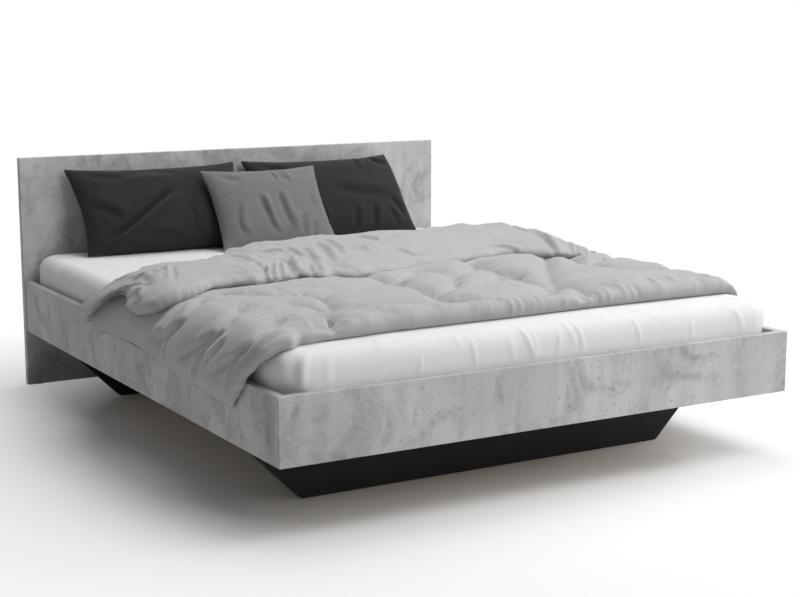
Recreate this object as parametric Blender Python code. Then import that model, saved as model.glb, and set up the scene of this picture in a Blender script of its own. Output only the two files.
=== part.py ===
# Floating bed: laminated panels on two set-back plinth boards, with a slatted base,
# a mattress in a fitted sheet, a turned-down duvet, two pillows and a cushion.
# Metres, +Z up, +Y towards the head. The origin is on the floor, on the bed's centre
# line, under the middle glide of the front plinth board.

import math
import bmesh
import bpy
from mathutils import Matrix, Vector

# Gap between touching pieces, and how far a cutter runs past what it cuts
touch_gap = 0.0003
cut_overrun = 0.004

# Mattress and the room around it in the frame
mattress_width = 1.600
mattress_length = 2.000
mattress_height = 0.200
mattress_corner_radius = 0.080
mattress_edge_radius = 0.045
mattress_side_clearance = 0.0075
mattress_end_clearance = 0.0025

# Frame panels
panel_thickness = 0.025
panel_edge_round = 0.0008
rail_height = 0.180
floor_to_rail = 0.195
headboard_height = 0.807
headboard_side_reveal = 0.005

# Plinth boards
plinth_thickness = 0.025
plinth_set_back = 0.298
plinth_foot_length = 1.225
plinth_corner_radius = 0.006

# Slatted base
slat_top_below_rail = 0.112
slat_thickness = 0.018
slat_width = 0.080
slat_count = 13
slat_end_margin = 0.030
slat_side_clearance = 0.0075
slat_edge_round = 0.004
cleat_height = 0.023
cleat_width = 0.030
cleat_end_margin = 0.075
beam_width = 0.040
beam_height = 0.047
strap_width = 0.022
strap_thickness = 0.0015
strap_inset = 0.060

# Brackets, screws and glides
bracket_thickness = 0.003
corner_bracket_leg = 0.060
corner_bracket_height = 0.036
corner_bracket_rise = 0.007
plinth_bracket_leg = 0.040
plinth_bracket_height = 0.020
plinth_bracket_rise = 0.004
hanger_depth = 0.035
hanger_height = 0.042
screw_shank_radius = 0.0025
screw_head_radius = 0.0050
screw_head_height = 0.0028
screw_depth = 0.016
screw_from_corner = 0.038
screw_sides = 12
glide_radius = 0.011
glide_height = 0.0015
glide_sides = 16
glide_inset = 0.040

# Fitted sheet
sheet_thickness = 0.001
sheet_hem = 0.110

# Duvet: main layer, flap turned down at the head, and the side that hangs over the rail
duvet_loft = 0.046
duvet_hem_loft = 0.012
duvet_foot_round = 0.120
duvet_flap_rise = 0.086
duvet_flap_edge_rise = 0.070
duvet_flap_lip = 0.014
duvet_crease_depth = 0.022
duvet_fold_round = 0.060
duvet_bend_radius = 0.080
duvet_rail_clearance = 0.005
duvet_side_drop = 0.090
duvet_foot_margin = 0.165
duvet_head_margin = 0.550
duvet_flap_length = 0.610
duvet_right_wrap = 0.048
duvet_right_bend_radius = 0.064
tuft_radius = 0.050
tuft_depth_share = 0.30
channel_half_width = 0.036
channel_depth_share = 0.50
side_fold_width = 0.030
side_fold_depth = 0.014
side_fold_roll = 0.009
flap_lip_height_share = 0.45
flap_ripple_share = 0.05
flap_ripple_count = 5

# Along the left hem, foot to head: how much of the side drop the hem keeps
hem_drop_shares = ((0.0, 1.0), (0.22, 0.88), (0.47, 0.71), (0.64, 0.52),
                   (0.82, 0.58), (0.93, 0.72), (1.0, 0.46))
# Across the bed, left hem to right hem: the foot hem, the fold and the flap's edge
foot_hem_shares = ((0.0, 1.20), (0.025, 0.78), (0.06, 0.42), (0.10, 0.46), (0.13, 0.67),
                   (0.2, 0.73), (0.33, 0.92), (0.51, 0.95), (0.71, 1.03), (1.0, 1.0))
fold_line_shares = ((0.0, 1.10), (0.04, 1.12), (0.075, 1.25), (0.10, 1.42), (0.13, 1.52),
                    (0.17, 1.46), (0.25, 1.42), (0.30, 1.34), (0.365, 1.12), (0.43, 1.01),
                    (0.6, 1.0), (0.68, 1.0), (0.77, 1.10), (0.86, 1.21), (0.95, 1.38), (1.0, 1.60))
flap_length_shares = ((0.0, 0.64), (0.085, 0.64), (0.115, 0.74), (0.15, 0.69), (0.22, 0.66),
                      (0.255, 0.745), (0.285, 0.76), (0.355, 0.93), (0.40, 1.03), (0.445, 1.10),
                      (0.52, 1.04), (0.60, 0.98), (0.68, 0.94), (0.76, 0.80), (0.82, 0.72),
                      (0.88, 0.80), (0.95, 0.76), (1.0, 0.62))
flap_rise_shares = ((0.0, 0.0), (0.055, 0.0), (0.085, 0.56), (0.10, 0.66), (0.13, 0.77),
                    (0.17, 0.82), (0.32, 0.86), (0.5, 0.93), (0.77, 0.98), (0.86, 1.02),
                    (0.93, 1.06), (0.97, 0.95), (1.0, 0.55))

# Sewn tufts and the channels between them, and the folds over the left edge. Places are
# shares of half the mattress width from the centre line, and of its length from the foot.
tuft_place_shares = (
    (-0.639, 0.155), (-0.181, 0.193), (0.261, 0.263), (0.704, 0.308), (-0.438, 0.280), (0.063, 0.310),
    (0.525, 0.365), (0.925, 0.400), (-0.634, 0.345), (-0.213, 0.278), (-0.330, 0.442), (0.299, 0.415),
    (-0.249, 0.115), (0.261, 0.145), (0.805, 0.160), (0.930, 0.229))
channels = ((0, 1), (1, 2), (2, 3), (12, 1), (12, 13), (13, 14), (13, 6), (6, 3), (3, 15), (14, 15), (4, 0),
            (8, 4), (4, 9), (9, 1), (9, 5), (5, 2), (5, 11), (11, 6), (8, 10), (10, 5), (6, 7), (7, 15))
side_fold_shares = (
    ((-0.700, 0.355), (-0.820, 0.342), (-0.944, 0.315), (-1.020, 0.280), (-1.058, 0.304), (-1.130, 0.400)),
    ((-0.700, 0.240), (-0.828, 0.235), (-0.965, 0.191), (-1.018, 0.180), (-1.056, 0.200), (-1.138, 0.290)),
    ((-0.700, 0.145), (-0.856, 0.124), (-0.954, 0.086), (-1.004, 0.069), (-1.040, 0.074), (-1.125, 0.155)))

# Rows and columns of the duvet's surface
duvet_columns_hang = 3
duvet_columns_bend = 5
duvet_columns_top = 26
duvet_columns_right = 3
duvet_rows_main = 15
duvet_rows_flap = 7
duvet_rows_nose = 4
duvet_rows_under = 5

# Pillows and cushion, measured from seam to seam
pillow_width = 0.660
pillow_height = 0.350
pillow_thickness = 0.135
pillow_lean_angle = math.radians(28)
pillow_gap = 0.020
pillow_shift = -0.010
pillow_sink = 0.012
pillow_slump = 0.026
pillow_top_narrowing = 0.036
cushion_width = 0.465
cushion_height = 0.330
cushion_thickness = 0.105
cushion_lean_angle = math.radians(29)
cushion_shift = 0.018
cushion_stand_off = 0.1163
cushion_sink = 0.008
cushion_slump = 0.022

# How a pillow's two faces are shaped, and their columns and rows
side_draw_share = 0.055
end_draw_share = 0.045
crown_power = 0.62
crown_corner_power = 2.4
crown_sag_share = 0.16
ear_lift_share = 0.03
seam_crowding_share = 0.75
pillow_columns = 16
pillow_rows = 12

# Sizes that follow
inner_width = mattress_width + 2 * mattress_side_clearance
inner_length = mattress_length + 2 * mattress_end_clearance
bed_width = inner_width + 2 * panel_thickness
rail_top = floor_to_rail + rail_height
foot_outer_y = -(plinth_thickness / 2 + plinth_set_back + panel_thickness)
well_front_y = foot_outer_y + panel_thickness
well_back_y = well_front_y + inner_length
headboard_back_y = well_back_y + panel_thickness
rear_plinth_y = well_back_y - plinth_set_back - plinth_thickness / 2
slat_top = rail_top - slat_top_below_rail
slat_bottom = slat_top - slat_thickness
cleat_bottom = slat_bottom - touch_gap - cleat_height
beam_bottom = slat_bottom - touch_gap - beam_height
plinth_top = cleat_bottom - touch_gap
sheet_bottom = slat_top + touch_gap
core_bottom = sheet_bottom + sheet_thickness + touch_gap
core_top = core_bottom + mattress_height
sheet_top = core_top + touch_gap + sheet_thickness
bedding_seat = sheet_top + touch_gap
mattress_middle_y = (well_front_y + well_back_y) / 2


def start_empty():
    for item in list(bpy.data.objects):
        bpy.data.objects.remove(item, do_unlink=True)


def make_material(name, colour, roughness, metallic=0.0):
    material = bpy.data.materials.new(name)
    material.use_nodes = True
    shader = material.node_tree.nodes["Principled BSDF"]
    shader.inputs["Base Color"].default_value = (*colour, 1.0)
    shader.inputs["Roughness"].default_value = roughness
    shader.inputs["Metallic"].default_value = metallic
    material.diffuse_color = (*colour, 1.0)
    return material


def finish_object(name, bm, material, origin=(0.0, 0.0, 0.0), smooth=False, wound=False):
    # wound says that the faces were made in outward order already
    if not wound:
        bmesh.ops.recalc_face_normals(bm, faces=bm.faces)
    bmesh.ops.translate(bm, verts=bm.verts, vec=-Vector(origin))
    mesh = bpy.data.meshes.new(name)
    bm.to_mesh(mesh)
    bm.free()
    item = bpy.data.objects.new(name, mesh)
    item.location = origin
    bpy.context.scene.collection.objects.link(item)
    mesh.materials.append(material)
    if smooth:
        mesh.shade_smooth()
        mesh.set_sharp_from_angle(angle=math.radians(40))
    return item


def add_bevel(item, width, segments=1):
    bevel = item.modifiers.new("edge round", "BEVEL")
    bevel.width = width
    bevel.segments = segments
    bevel.limit_method = "ANGLE"
    return bevel


def add_box(name, low, high, material, edge_round=0.0, origin=None):
    low = Vector(low)
    high = Vector(high)
    bm = bmesh.new()
    bmesh.ops.create_cube(bm, size=1.0)
    bmesh.ops.scale(bm, verts=bm.verts, vec=high - low)
    bmesh.ops.translate(bm, verts=bm.verts, vec=(low + high) / 2)
    item = finish_object(name, bm, material, origin or (low + high) / 2)
    if edge_round:
        add_bevel(item, edge_round)
    return item


def extrude_outline(points, thickness, to_world):
    # A closed outline in its own plane, pushed along the plane's normal
    bm = bmesh.new()
    ring = [bm.verts.new((u, v, 0.0)) for u, v in points]
    face = bm.faces.new(ring)
    pushed = bmesh.ops.extrude_face_region(bm, geom=[face])
    moved = [part for part in pushed["geom"] if isinstance(part, bmesh.types.BMVert)]
    bmesh.ops.translate(bm, verts=moved, vec=(0.0, 0.0, thickness))
    bmesh.ops.transform(bm, matrix=to_world, verts=bm.verts)
    return bm


def add_cylinder_cutter(name, centre, direction, radius, depth):
    bm = bmesh.new()
    bmesh.ops.create_cone(bm, cap_ends=True, segments=screw_sides, radius1=radius,
                          radius2=radius, depth=depth + cut_overrun)
    turn = Vector(direction).to_track_quat("Z", "Y").to_matrix().to_4x4()
    middle = Vector(centre) + Vector(direction) * (depth - cut_overrun) / 2
    bmesh.ops.transform(bm, matrix=Matrix.Translation(middle) @ turn, verts=bm.verts)
    mesh = bpy.data.meshes.new(name)
    bmesh.ops.recalc_face_normals(bm, faces=bm.faces)
    bm.to_mesh(mesh)
    bm.free()
    cutter = bpy.data.objects.new(name, mesh)
    cutter.hide_render = True
    cutter.display_type = "WIRE"
    bpy.context.scene.collection.objects.link(cutter)
    return cutter


def cut_hole(item, cutter):
    hole = item.modifiers.new("hole", "BOOLEAN")
    hole.operation = "DIFFERENCE"
    hole.object = cutter


# Frame panels

def make_panels(laminate):
    half_width = bed_width / 2
    add_box("foot_rail",
            (-half_width, foot_outer_y, floor_to_rail),
            (half_width, well_front_y, rail_top),
            laminate, panel_edge_round)
    for side, name in ((-1, "rail_left"), (1, "rail_right")):
        inner = side * inner_width / 2
        outer = side * half_width
        add_box(name,
                (min(inner, outer), well_front_y + touch_gap, floor_to_rail),
                (max(inner, outer), well_back_y - touch_gap, rail_top),
                laminate, panel_edge_round)
    headboard_half = half_width + headboard_side_reveal
    add_box("headboard",
            (-headboard_half, well_back_y, glide_height),
            (headboard_half, headboard_back_y, headboard_height),
            laminate, panel_edge_round)


# Plinth boards: a wide board whose ends slant in below the rails, notched for the beam

def plinth_outline():
    foot = plinth_foot_length / 2
    reach = inner_width / 2 - touch_gap
    notch = beam_width / 2 + touch_gap
    notch_bottom = beam_bottom - touch_gap
    right_side = [
        (foot, glide_height),
        (reach, floor_to_rail),
        (reach, plinth_top),
        (notch, plinth_top),
        (notch, notch_bottom),
    ]
    left_side = [(-x, z) for x, z in reversed(right_side)]
    return right_side + left_side


def round_foot_corners(item):
    bevel = item.modifiers.new("foot corners", "BEVEL")
    bevel.width = plinth_corner_radius
    bevel.segments = 3
    bevel.limit_method = "WEIGHT"
    edges = item.data.edges
    weights = item.data.attributes.new("bevel_weight_edge", "FLOAT", "EDGE")
    lowest = min(vert.co.z for vert in item.data.vertices)
    for edge in edges:
        ends = [item.data.vertices[index].co for index in edge.vertices]
        is_low = all(end.z - lowest < touch_gap for end in ends)
        runs_through = abs(ends[0].y - ends[1].y) > plinth_thickness / 2
        weights.data[edge.index].value = 1.0 if is_low and runs_through else 0.0


def make_plinth(black_laminate):
    upright = Matrix.Rotation(math.pi / 2, 4, "X")
    for name, middle in (("plinth_front", 0.0), ("plinth_rear", rear_plinth_y)):
        place = Matrix.Translation((0.0, middle + plinth_thickness / 2, 0.0)) @ upright
        bm = extrude_outline(plinth_outline(), plinth_thickness, place)
        board = finish_object(name, bm, black_laminate, (0.0, middle, 0.0))
        round_foot_corners(board)


# Slatted base: cleats on the side rails, a middle beam, slats and their two straps

def make_cleats(timber):
    reach = inner_width / 2 - touch_gap
    for side, name in ((-1, "cleat_left"), (1, "cleat_right")):
        inner = side * (reach - cleat_width)
        outer = side * reach
        add_box(name,
                (min(inner, outer), well_front_y + cleat_end_margin, cleat_bottom),
                (max(inner, outer), well_back_y - cleat_end_margin, cleat_bottom + cleat_height),
                timber)


def make_beam(timber):
    behind_hanger = bracket_thickness + 2 * touch_gap
    add_box("centre_beam",
            (-beam_width / 2, well_front_y + behind_hanger, beam_bottom),
            (beam_width / 2, well_back_y - behind_hanger, beam_bottom + beam_height),
            timber)


def slat_centres():
    first = well_front_y + slat_end_margin + slat_width / 2
    last = well_back_y - slat_end_margin - slat_width / 2
    step = (last - first) / (slat_count - 1)
    return [first + step * number for number in range(slat_count)]


def make_slats(timber):
    half_length = inner_width / 2 - slat_side_clearance
    for number, middle in enumerate(slat_centres(), start=1):
        add_box(f"slat_{number:02d}",
                (-half_length, middle - slat_width / 2, slat_bottom),
                (half_length, middle + slat_width / 2, slat_top),
                timber, slat_edge_round)


def make_straps(webbing):
    top = slat_bottom - touch_gap
    centres = slat_centres()
    outer = inner_width / 2 - cleat_width - strap_inset
    for side, name in ((-1, "slat_strap_left"), (1, "slat_strap_right")):
        middle = side * (outer - strap_width / 2)
        add_box(name,
                (middle - strap_width / 2, centres[0] - slat_width / 2, top - strap_thickness),
                (middle + strap_width / 2, centres[-1] + slat_width / 2, top),
                webbing)


# Steel brackets and their screws

def bracket_outline(leg_across, leg_along):
    t = bracket_thickness
    return [(0.0, 0.0), (leg_across, 0.0), (leg_across, t), (t, t), (t, leg_along), (0.0, leg_along)]


def add_bracket(name, corner, side, facing, leg_across, leg_along, bottom, height, steel):
    # side and facing say which way the two legs run from the corner, along X and Y
    corner_x, corner_y = corner
    mirror = Matrix.Diagonal((-side, facing, 1.0, 1.0))
    place = Matrix.Translation((corner_x, corner_y, bottom)) @ mirror
    bm = extrude_outline(bracket_outline(leg_across, leg_along), height, place)
    return finish_object(name, bm, steel, (corner_x, corner_y, bottom))


def add_screw(name, seat, direction, steel):
    # seat is the middle of the head's underside; direction points into the panel
    rings = [
        (screw_head_radius, -screw_head_height),
        (screw_head_radius, 0.0),
        (screw_shank_radius, 0.0),
        (screw_shank_radius, screw_depth),
    ]
    bm = bmesh.new()
    loops = []
    for radius, along in rings:
        loop = []
        for step in range(screw_sides):
            angle = 2 * math.pi * step / screw_sides
            loop.append(bm.verts.new((radius * math.cos(angle), radius * math.sin(angle), along)))
        loops.append(loop)
    bm.faces.new(list(reversed(loops[0])))
    bm.faces.new(loops[-1])
    for lower, upper in zip(loops, loops[1:]):
        for step in range(screw_sides):
            after = (step + 1) % screw_sides
            bm.faces.new((lower[step], lower[after], upper[after], upper[step]))
    turn = Vector(direction).to_track_quat("Z", "Y").to_matrix().to_4x4()
    bmesh.ops.transform(bm, matrix=Matrix.Translation(seat) @ turn, verts=bm.verts)
    return finish_object(name, bm, steel, seat, smooth=True)


def make_corner_brackets(steel):
    objects = bpy.data.objects
    bottom = floor_to_rail + corner_bracket_rise
    screw_height = bottom + corner_bracket_height / 2
    hole_radius = screw_shank_radius + touch_gap
    ends = (("front", 1, well_front_y, objects["foot_rail"]),
            ("rear", -1, well_back_y, objects["headboard"]))
    sides = (("left", -1, objects["rail_left"]), ("right", 1, objects["rail_right"]))
    for end_name, facing, face_y, end_panel in ends:
        for side_name, side, rail in sides:
            face_x = side * inner_width / 2
            corner = (face_x - side * touch_gap, face_y + facing * touch_gap)
            label = f"{end_name}_{side_name}"
            bracket = add_bracket(f"corner_bracket_{label}", corner, side, facing, corner_bracket_leg,
                                  corner_bracket_leg, bottom, corner_bracket_height, steel)
            head_gap = bracket_thickness + 2 * touch_gap
            to_rail = Vector((side, 0.0, 0.0))
            on_rail = Vector((face_x - side * head_gap, face_y + facing * screw_from_corner, screw_height))
            to_end = Vector((0.0, -facing, 0.0))
            on_end = Vector((face_x - side * screw_from_corner, face_y + facing * head_gap, screw_height))
            fixings = (("rail_screw", on_rail, to_rail, rail), ("end_screw", on_end, to_end, end_panel))
            for kind, seat, direction, panel in fixings:
                screw_name = f"{kind}_{label}"
                add_screw(screw_name, seat, direction, steel)
                cutter = add_cylinder_cutter(f"{screw_name}_hole", seat, direction, hole_radius,
                                             screw_depth + touch_gap)
                cut_hole(bracket, cutter)
                cut_hole(panel, cutter)


def make_plinth_brackets(steel):
    bottom = floor_to_rail + plinth_bracket_rise
    ends = (("front", 1, plinth_thickness / 2), ("rear", -1, rear_plinth_y - plinth_thickness / 2))
    for end_name, facing, face_y in ends:
        for side_name, side in (("left", -1), ("right", 1)):
            corner = (side * (inner_width / 2 - touch_gap), face_y + facing * touch_gap)
            add_bracket(f"plinth_bracket_{end_name}_{side_name}", corner, side, facing,
                        plinth_bracket_leg, plinth_bracket_leg, bottom, plinth_bracket_height, steel)


def make_beam_hangers(steel):
    # A channel on each end panel that holds the beam's end between its two ears
    inner = beam_width / 2 + touch_gap
    outer = inner + bracket_thickness
    bottom = slat_bottom - touch_gap - hanger_height
    ends = (("beam_hanger_front", 1, well_front_y), ("beam_hanger_rear", -1, well_back_y))
    for name, facing, face_y in ends:
        outline = [
            (-outer, 0.0), (outer, 0.0), (outer, hanger_depth), (inner, hanger_depth),
            (inner, bracket_thickness), (-inner, bracket_thickness), (-inner, hanger_depth),
            (-outer, hanger_depth),
        ]
        start = face_y + facing * touch_gap
        place = Matrix.Translation((0.0, start, bottom)) @ Matrix.Diagonal((1.0, facing, 1.0, 1.0))
        bm = extrude_outline(outline, hanger_height, place)
        finish_object(name, bm, steel, (0.0, start, bottom))


def make_glides(plastic):
    plinth_reach = plinth_foot_length / 2 - glide_inset
    headboard_reach = bed_width / 2 - glide_inset
    headboard_middle_y = (well_back_y + headboard_back_y) / 2
    spots = {
        "glide_front_left": (-plinth_reach, 0.0),
        "glide_front_middle": (0.0, 0.0),
        "glide_front_right": (plinth_reach, 0.0),
        "glide_rear_left": (-plinth_reach, rear_plinth_y),
        "glide_rear_middle": (0.0, rear_plinth_y),
        "glide_rear_right": (plinth_reach, rear_plinth_y),
        "glide_headboard_left": (-headboard_reach, headboard_middle_y),
        "glide_headboard_right": (headboard_reach, headboard_middle_y),
    }
    height = glide_height - touch_gap
    for name, (x, y) in spots.items():
        bm = bmesh.new()
        bmesh.ops.create_cone(bm, cap_ends=True, segments=glide_sides, radius1=glide_radius,
                              radius2=glide_radius, depth=height)
        bmesh.ops.translate(bm, verts=bm.verts, vec=(x, y, height / 2))
        finish_object(name, bm, plastic, (x, y, 0.0), smooth=True)


# Mattress and fitted sheet: rounded slabs made of rings

def rounded_ring(bm, half_width, half_length, radius, inset, height):
    # A rectangle with round corners, drawn in by inset on every side
    steps = 6
    corner = max(radius - inset, touch_gap)
    across = half_width - inset - corner
    along = half_length - inset - corner
    ring = []
    for quarter, (side_x, side_y) in enumerate(((1, 1), (-1, 1), (-1, -1), (1, -1))):
        for step in range(steps + 1):
            angle = math.pi / 2 * (quarter + step / steps)
            x = side_x * across + corner * math.cos(angle)
            y = side_y * along + corner * math.sin(angle)
            ring.append(bm.verts.new((x, mattress_middle_y + y, height)))
    return ring


def slab_profile(grow, bottom, top, start_inset):
    # Inset and height from the underside's inner ring to the top's outer ring
    steps = 4
    radius = mattress_edge_radius + grow
    profile = [(start_inset, bottom)] if start_inset > radius else []
    for step in range(steps + 1):
        angle = math.pi / 2 * step / steps
        profile.append((radius * (1 - math.sin(angle)), bottom + radius * (1 - math.cos(angle))))
    for step in range(steps + 1):
        angle = math.pi / 2 * step / steps
        profile.append((radius * (1 - math.cos(angle)), top - radius * (1 - math.sin(angle))))
    return profile


def slab_rings(bm, grow, bottom, top, start_inset):
    half_width = mattress_width / 2 + grow
    half_length = mattress_length / 2 + grow
    radius = mattress_corner_radius + grow
    return [rounded_ring(bm, half_width, half_length, radius, inset, height)
            for inset, height in slab_profile(grow, bottom, top, start_inset)]


def join_rings(bm, rings):
    for lower, upper in zip(rings, rings[1:]):
        for index, vert in enumerate(lower):
            after = (index + 1) % len(lower)
            bm.faces.new((vert, lower[after], upper[after], upper[index]))


def make_mattress(foam):
    bm = bmesh.new()
    rings = slab_rings(bm, 0.0, core_bottom, core_top, 0.0)
    join_rings(bm, rings)
    bm.faces.new(list(reversed(rings[0])))
    bm.faces.new(rings[-1])
    origin = (0.0, mattress_middle_y, core_bottom)
    finish_object("mattress_core", bm, foam, origin, smooth=True)


def make_sheet(cotton):
    bm = bmesh.new()
    inner_grow = touch_gap
    outer_grow = touch_gap + sheet_thickness
    inner = slab_rings(bm, inner_grow, core_bottom - inner_grow, core_top + inner_grow, sheet_hem)
    outer = slab_rings(bm, outer_grow, core_bottom - outer_grow, core_top + outer_grow, sheet_hem)
    join_rings(bm, outer)
    join_rings(bm, inner)
    join_rings(bm, [inner[0], outer[0]])
    bm.faces.new(outer[-1])
    bm.faces.new(list(reversed(inner[-1])))
    origin = (0.0, mattress_middle_y, core_bottom)
    finish_object("fitted_sheet", bm, cotton, origin, smooth=True)


# Duvet. Its shape is a height over the surface it lies on: the sheet, the bend over the
# mattress edge, and the outer face of the left rail. Distance s runs across the bed.

def along(shares, place):
    # Smooth value between hand-chosen shares
    if place <= shares[0][0]:
        return shares[0][1]
    for (start, low), (end, high) in zip(shares, shares[1:]):
        if place <= end:
            part = (place - start) / (end - start)
            ease = part * part * (3 - 2 * part)
            return low + (high - low) * ease
    return shares[-1][1]


def bend_start():
    return -(bed_width / 2 + duvet_rail_clearance - duvet_bend_radius)


def bend_end():
    return bend_start() - duvet_bend_radius * math.pi / 2


def right_bend_start():
    return mattress_width / 2 - mattress_edge_radius


def duvet_ground(s):
    # Point under the duvet and the outward direction there
    if s > right_bend_start():
        angle = (s - right_bend_start()) / duvet_right_bend_radius
        outward = Vector((math.sin(angle), 0.0, math.cos(angle)))
        centre = Vector((right_bend_start(), 0.0, bedding_seat - duvet_right_bend_radius))
        return centre + outward * duvet_right_bend_radius, outward
    if s >= bend_start():
        return Vector((s, 0.0, bedding_seat)), Vector((0.0, 0.0, 1.0))
    centre = Vector((bend_start(), 0.0, bedding_seat - duvet_bend_radius))
    if s >= bend_end():
        bent = (bend_start() - s) / duvet_bend_radius
        outward = Vector((-math.sin(bent), 0.0, math.cos(bent)))
        return centre + outward * duvet_bend_radius, outward
    hang = bend_end() - s
    return centre + Vector((-duvet_bend_radius, 0.0, -hang)), Vector((-1.0, 0.0, 0.0))


def foot_hem_y(share):
    return well_front_y + duvet_foot_margin * along(foot_hem_shares, share)


def fold_y(share):
    return well_back_y - duvet_head_margin * along(fold_line_shares, share)


def flap_edge_y(share):
    return fold_y(share) - duvet_flap_length * along(flap_length_shares, share)


def left_hem_s(y):
    place = (y - foot_hem_y(0.0)) / (fold_y(0.0) - foot_hem_y(0.0))
    return bend_end() - duvet_side_drop * along(hem_drop_shares, place)


def right_hem_s():
    return right_bend_start() + duvet_right_wrap


def duvet_columns():
    # Shares across the bed: close together where the duvet bends over the mattress edge
    low = bend_end() - duvet_side_drop
    high = right_hem_s()
    stops = [
        (low, duvet_columns_hang),
        (bend_end(), duvet_columns_bend),
        (bend_start(), duvet_columns_top),
        (right_bend_start(), duvet_columns_right),
        (high, 0),
    ]
    places = []
    for (start, count), (end, _) in zip(stops, stops[1:]):
        places += [start + (end - start) * step / count for step in range(count)]
    places.append(high)
    return [(place - low) / (high - low) for place in places]


def place_across(share, y):
    # The left hem wanders, so the columns beside it close up; from the bend on they run straight
    low = bend_end() - duvet_side_drop
    straight = low + share * (right_hem_s() - low)
    if straight >= bend_end():
        return straight
    part = (bend_end() - straight) / (bend_end() - low)
    return bend_end() + (left_hem_s(y) - bend_end()) * part


def bed_place(shares):
    return shares[0] * mattress_width / 2, well_front_y + shares[1] * mattress_length


def from_line(s, y, start, end):
    # Distance from a straight line, plus on its left side, and how far along it the nearest place is
    across, along_bed = end[0] - start[0], end[1] - start[1]
    length = math.hypot(across, along_bed)
    part = ((s - start[0]) * across + (y - start[1]) * along_bed) / length ** 2
    part = min(1.0, max(0.0, part))
    away = math.hypot(s - start[0] - part * across, y - start[1] - part * along_bed)
    turn = across * (y - start[1]) - along_bed * (s - start[0])
    return math.copysign(away, turn), part


def main_height(s, y):
    # Quilted loft: valleys along the channels, pinched down at the tufts
    tufts = [bed_place(shares) for shares in tuft_place_shares]
    valley = max(math.exp(-(from_line(s, y, tufts[first], tufts[second])[0] / channel_half_width) ** 2)
                 for first, second in channels)
    pinch = max(math.exp(-math.dist((s, y), tuft) ** 2 / tuft_radius ** 2) for tuft in tufts)
    height = duvet_loft * (1.0 - channel_depth_share * valley - tuft_depth_share * pinch)
    return height + sum(side_fold(s, y, shares) for shares in side_fold_shares)


def side_fold(s, y, shares):
    # A roll of the duvet on the head side of a line, a valley on the line, both fading at its ends
    line = [bed_place(share) for share in shares]
    best = None
    for number, (start, end) in enumerate(zip(line, line[1:])):
        away, part = from_line(s, y, start, end)
        if best is None or abs(away) < abs(best[0]):
            best = (away, (number + part) / (len(line) - 1))
    away, place = best
    fade = math.sin(math.pi * min(1.0, max(0.0, place)))
    roll = math.exp(-((away + 2 * side_fold_width) / (1.5 * side_fold_width)) ** 2)
    valley = math.exp(-(away / side_fold_width) ** 2)
    return fade * (side_fold_roll * roll - side_fold_depth * valley)


def duvet_section(share, at_hem):
    # Outline at one place across the bed: (y, height over the ground) from the foot hem over
    # the main layer and the flap to the fold, and the flat underside back to the foot hem.
    # The two side hems are thin and have no crease under the flap.
    foot = foot_hem_y(share)
    edge = flap_edge_y(share)
    crest = fold_y(share) - duvet_fold_round
    tall = along(flap_rise_shares, share)
    rise = 0.0 if at_hem else min(1.0, tall)
    thin = duvet_hem_loft / duvet_loft if at_hem else 1.0
    crease = edge + duvet_crease_depth * rise - duvet_flap_lip * (1.0 - rise)
    over = []
    for row in range(duvet_rows_main):
        y = foot + (crease - foot) * row / (duvet_rows_main - 1)
        swell = math.sin(math.pi / 2 * min(1.0, (y - foot) / duvet_foot_round))
        hem = duvet_hem_loft / 2
        over.append((y, hem + (main_height(place_across(share, y), y) - hem) * swell))
    lowest = over[-1][1]
    edge_height = max(lowest, duvet_flap_edge_rise * min(1.0, tall))
    crest_height = max(lowest, duvet_flap_rise * tall)
    lip_height = lowest + (edge_height - lowest) * flap_lip_height_share
    over.append((edge - duvet_flap_lip / 2, lip_height))
    for row in range(duvet_rows_flap):
        part = row / (duvet_rows_flap - 1)
        height = edge_height + (crest_height - edge_height) * math.sin(part * math.pi / 2)
        ripple = abs(math.cos(part * math.pi * flap_ripple_count)) * math.sin(part * math.pi)
        over.append((edge + (crest - edge) * part, height - flap_ripple_share * rise * edge_height * ripple))
    for step in range(1, duvet_rows_nose):
        angle = math.pi * step / duvet_rows_nose
        over.append((crest + duvet_fold_round * math.sin(angle), crest_height * (1 + math.cos(angle)) / 2))
    start = foot + duvet_hem_loft
    under = [(start + (crest - start) * row / duvet_rows_under, 0.0) for row in range(duvet_rows_under + 1)]
    return [(y, height * thin) for y, height in over], under


def zip_faces(bm, first, second, flip):
    # Triangles between two rows of vertices that both run from foot to head
    i = 0
    j = 0
    while i < len(first) - 1 or j < len(second) - 1:
        step_first = j == len(second) - 1 or (
            i < len(first) - 1 and first[i + 1].co.y <= second[j + 1].co.y)
        if step_first:
            corners = [first[i], first[i + 1], second[j]]
            i += 1
        else:
            corners = [first[i], second[j + 1], second[j]]
            j += 1
        bm.faces.new(reversed(corners) if flip else corners)


def make_duvet(quilt):
    bm = bmesh.new()
    shares = duvet_columns()
    columns = []
    for number, share in enumerate(shares):
        over, under = duvet_section(share, number in (0, len(shares) - 1))
        over_row = []
        under_row = []
        for row, spots in ((over_row, over), (under_row, under)):
            for y, height in spots:
                ground, outward = duvet_ground(place_across(share, y))
                spot = ground + outward * height
                row.append(bm.verts.new((spot.x, y, spot.z)))
        columns.append((over_row, under_row))
    for left_rows, right_rows in zip(columns, columns[1:]):
        left = left_rows[0] + list(reversed(left_rows[1]))
        right = right_rows[0] + list(reversed(right_rows[1]))
        for index in range(len(left)):
            after = (index + 1) % len(left)
            bm.faces.new((left[index], right[index], right[after], left[after]))
    for (over_row, under_row), flip in ((columns[0], False), (columns[-1], True)):
        zip_faces(bm, over_row, under_row, flip)
    middle_y = (fold_y(0.5) + foot_hem_y(0.5)) / 2
    finish_object("duvet", bm, quilt, (0.0, middle_y, bedding_seat), smooth=True, wound=True)


# Pillows and cushion: two crowned faces that meet in a seam, sides drawn in between corners

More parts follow.
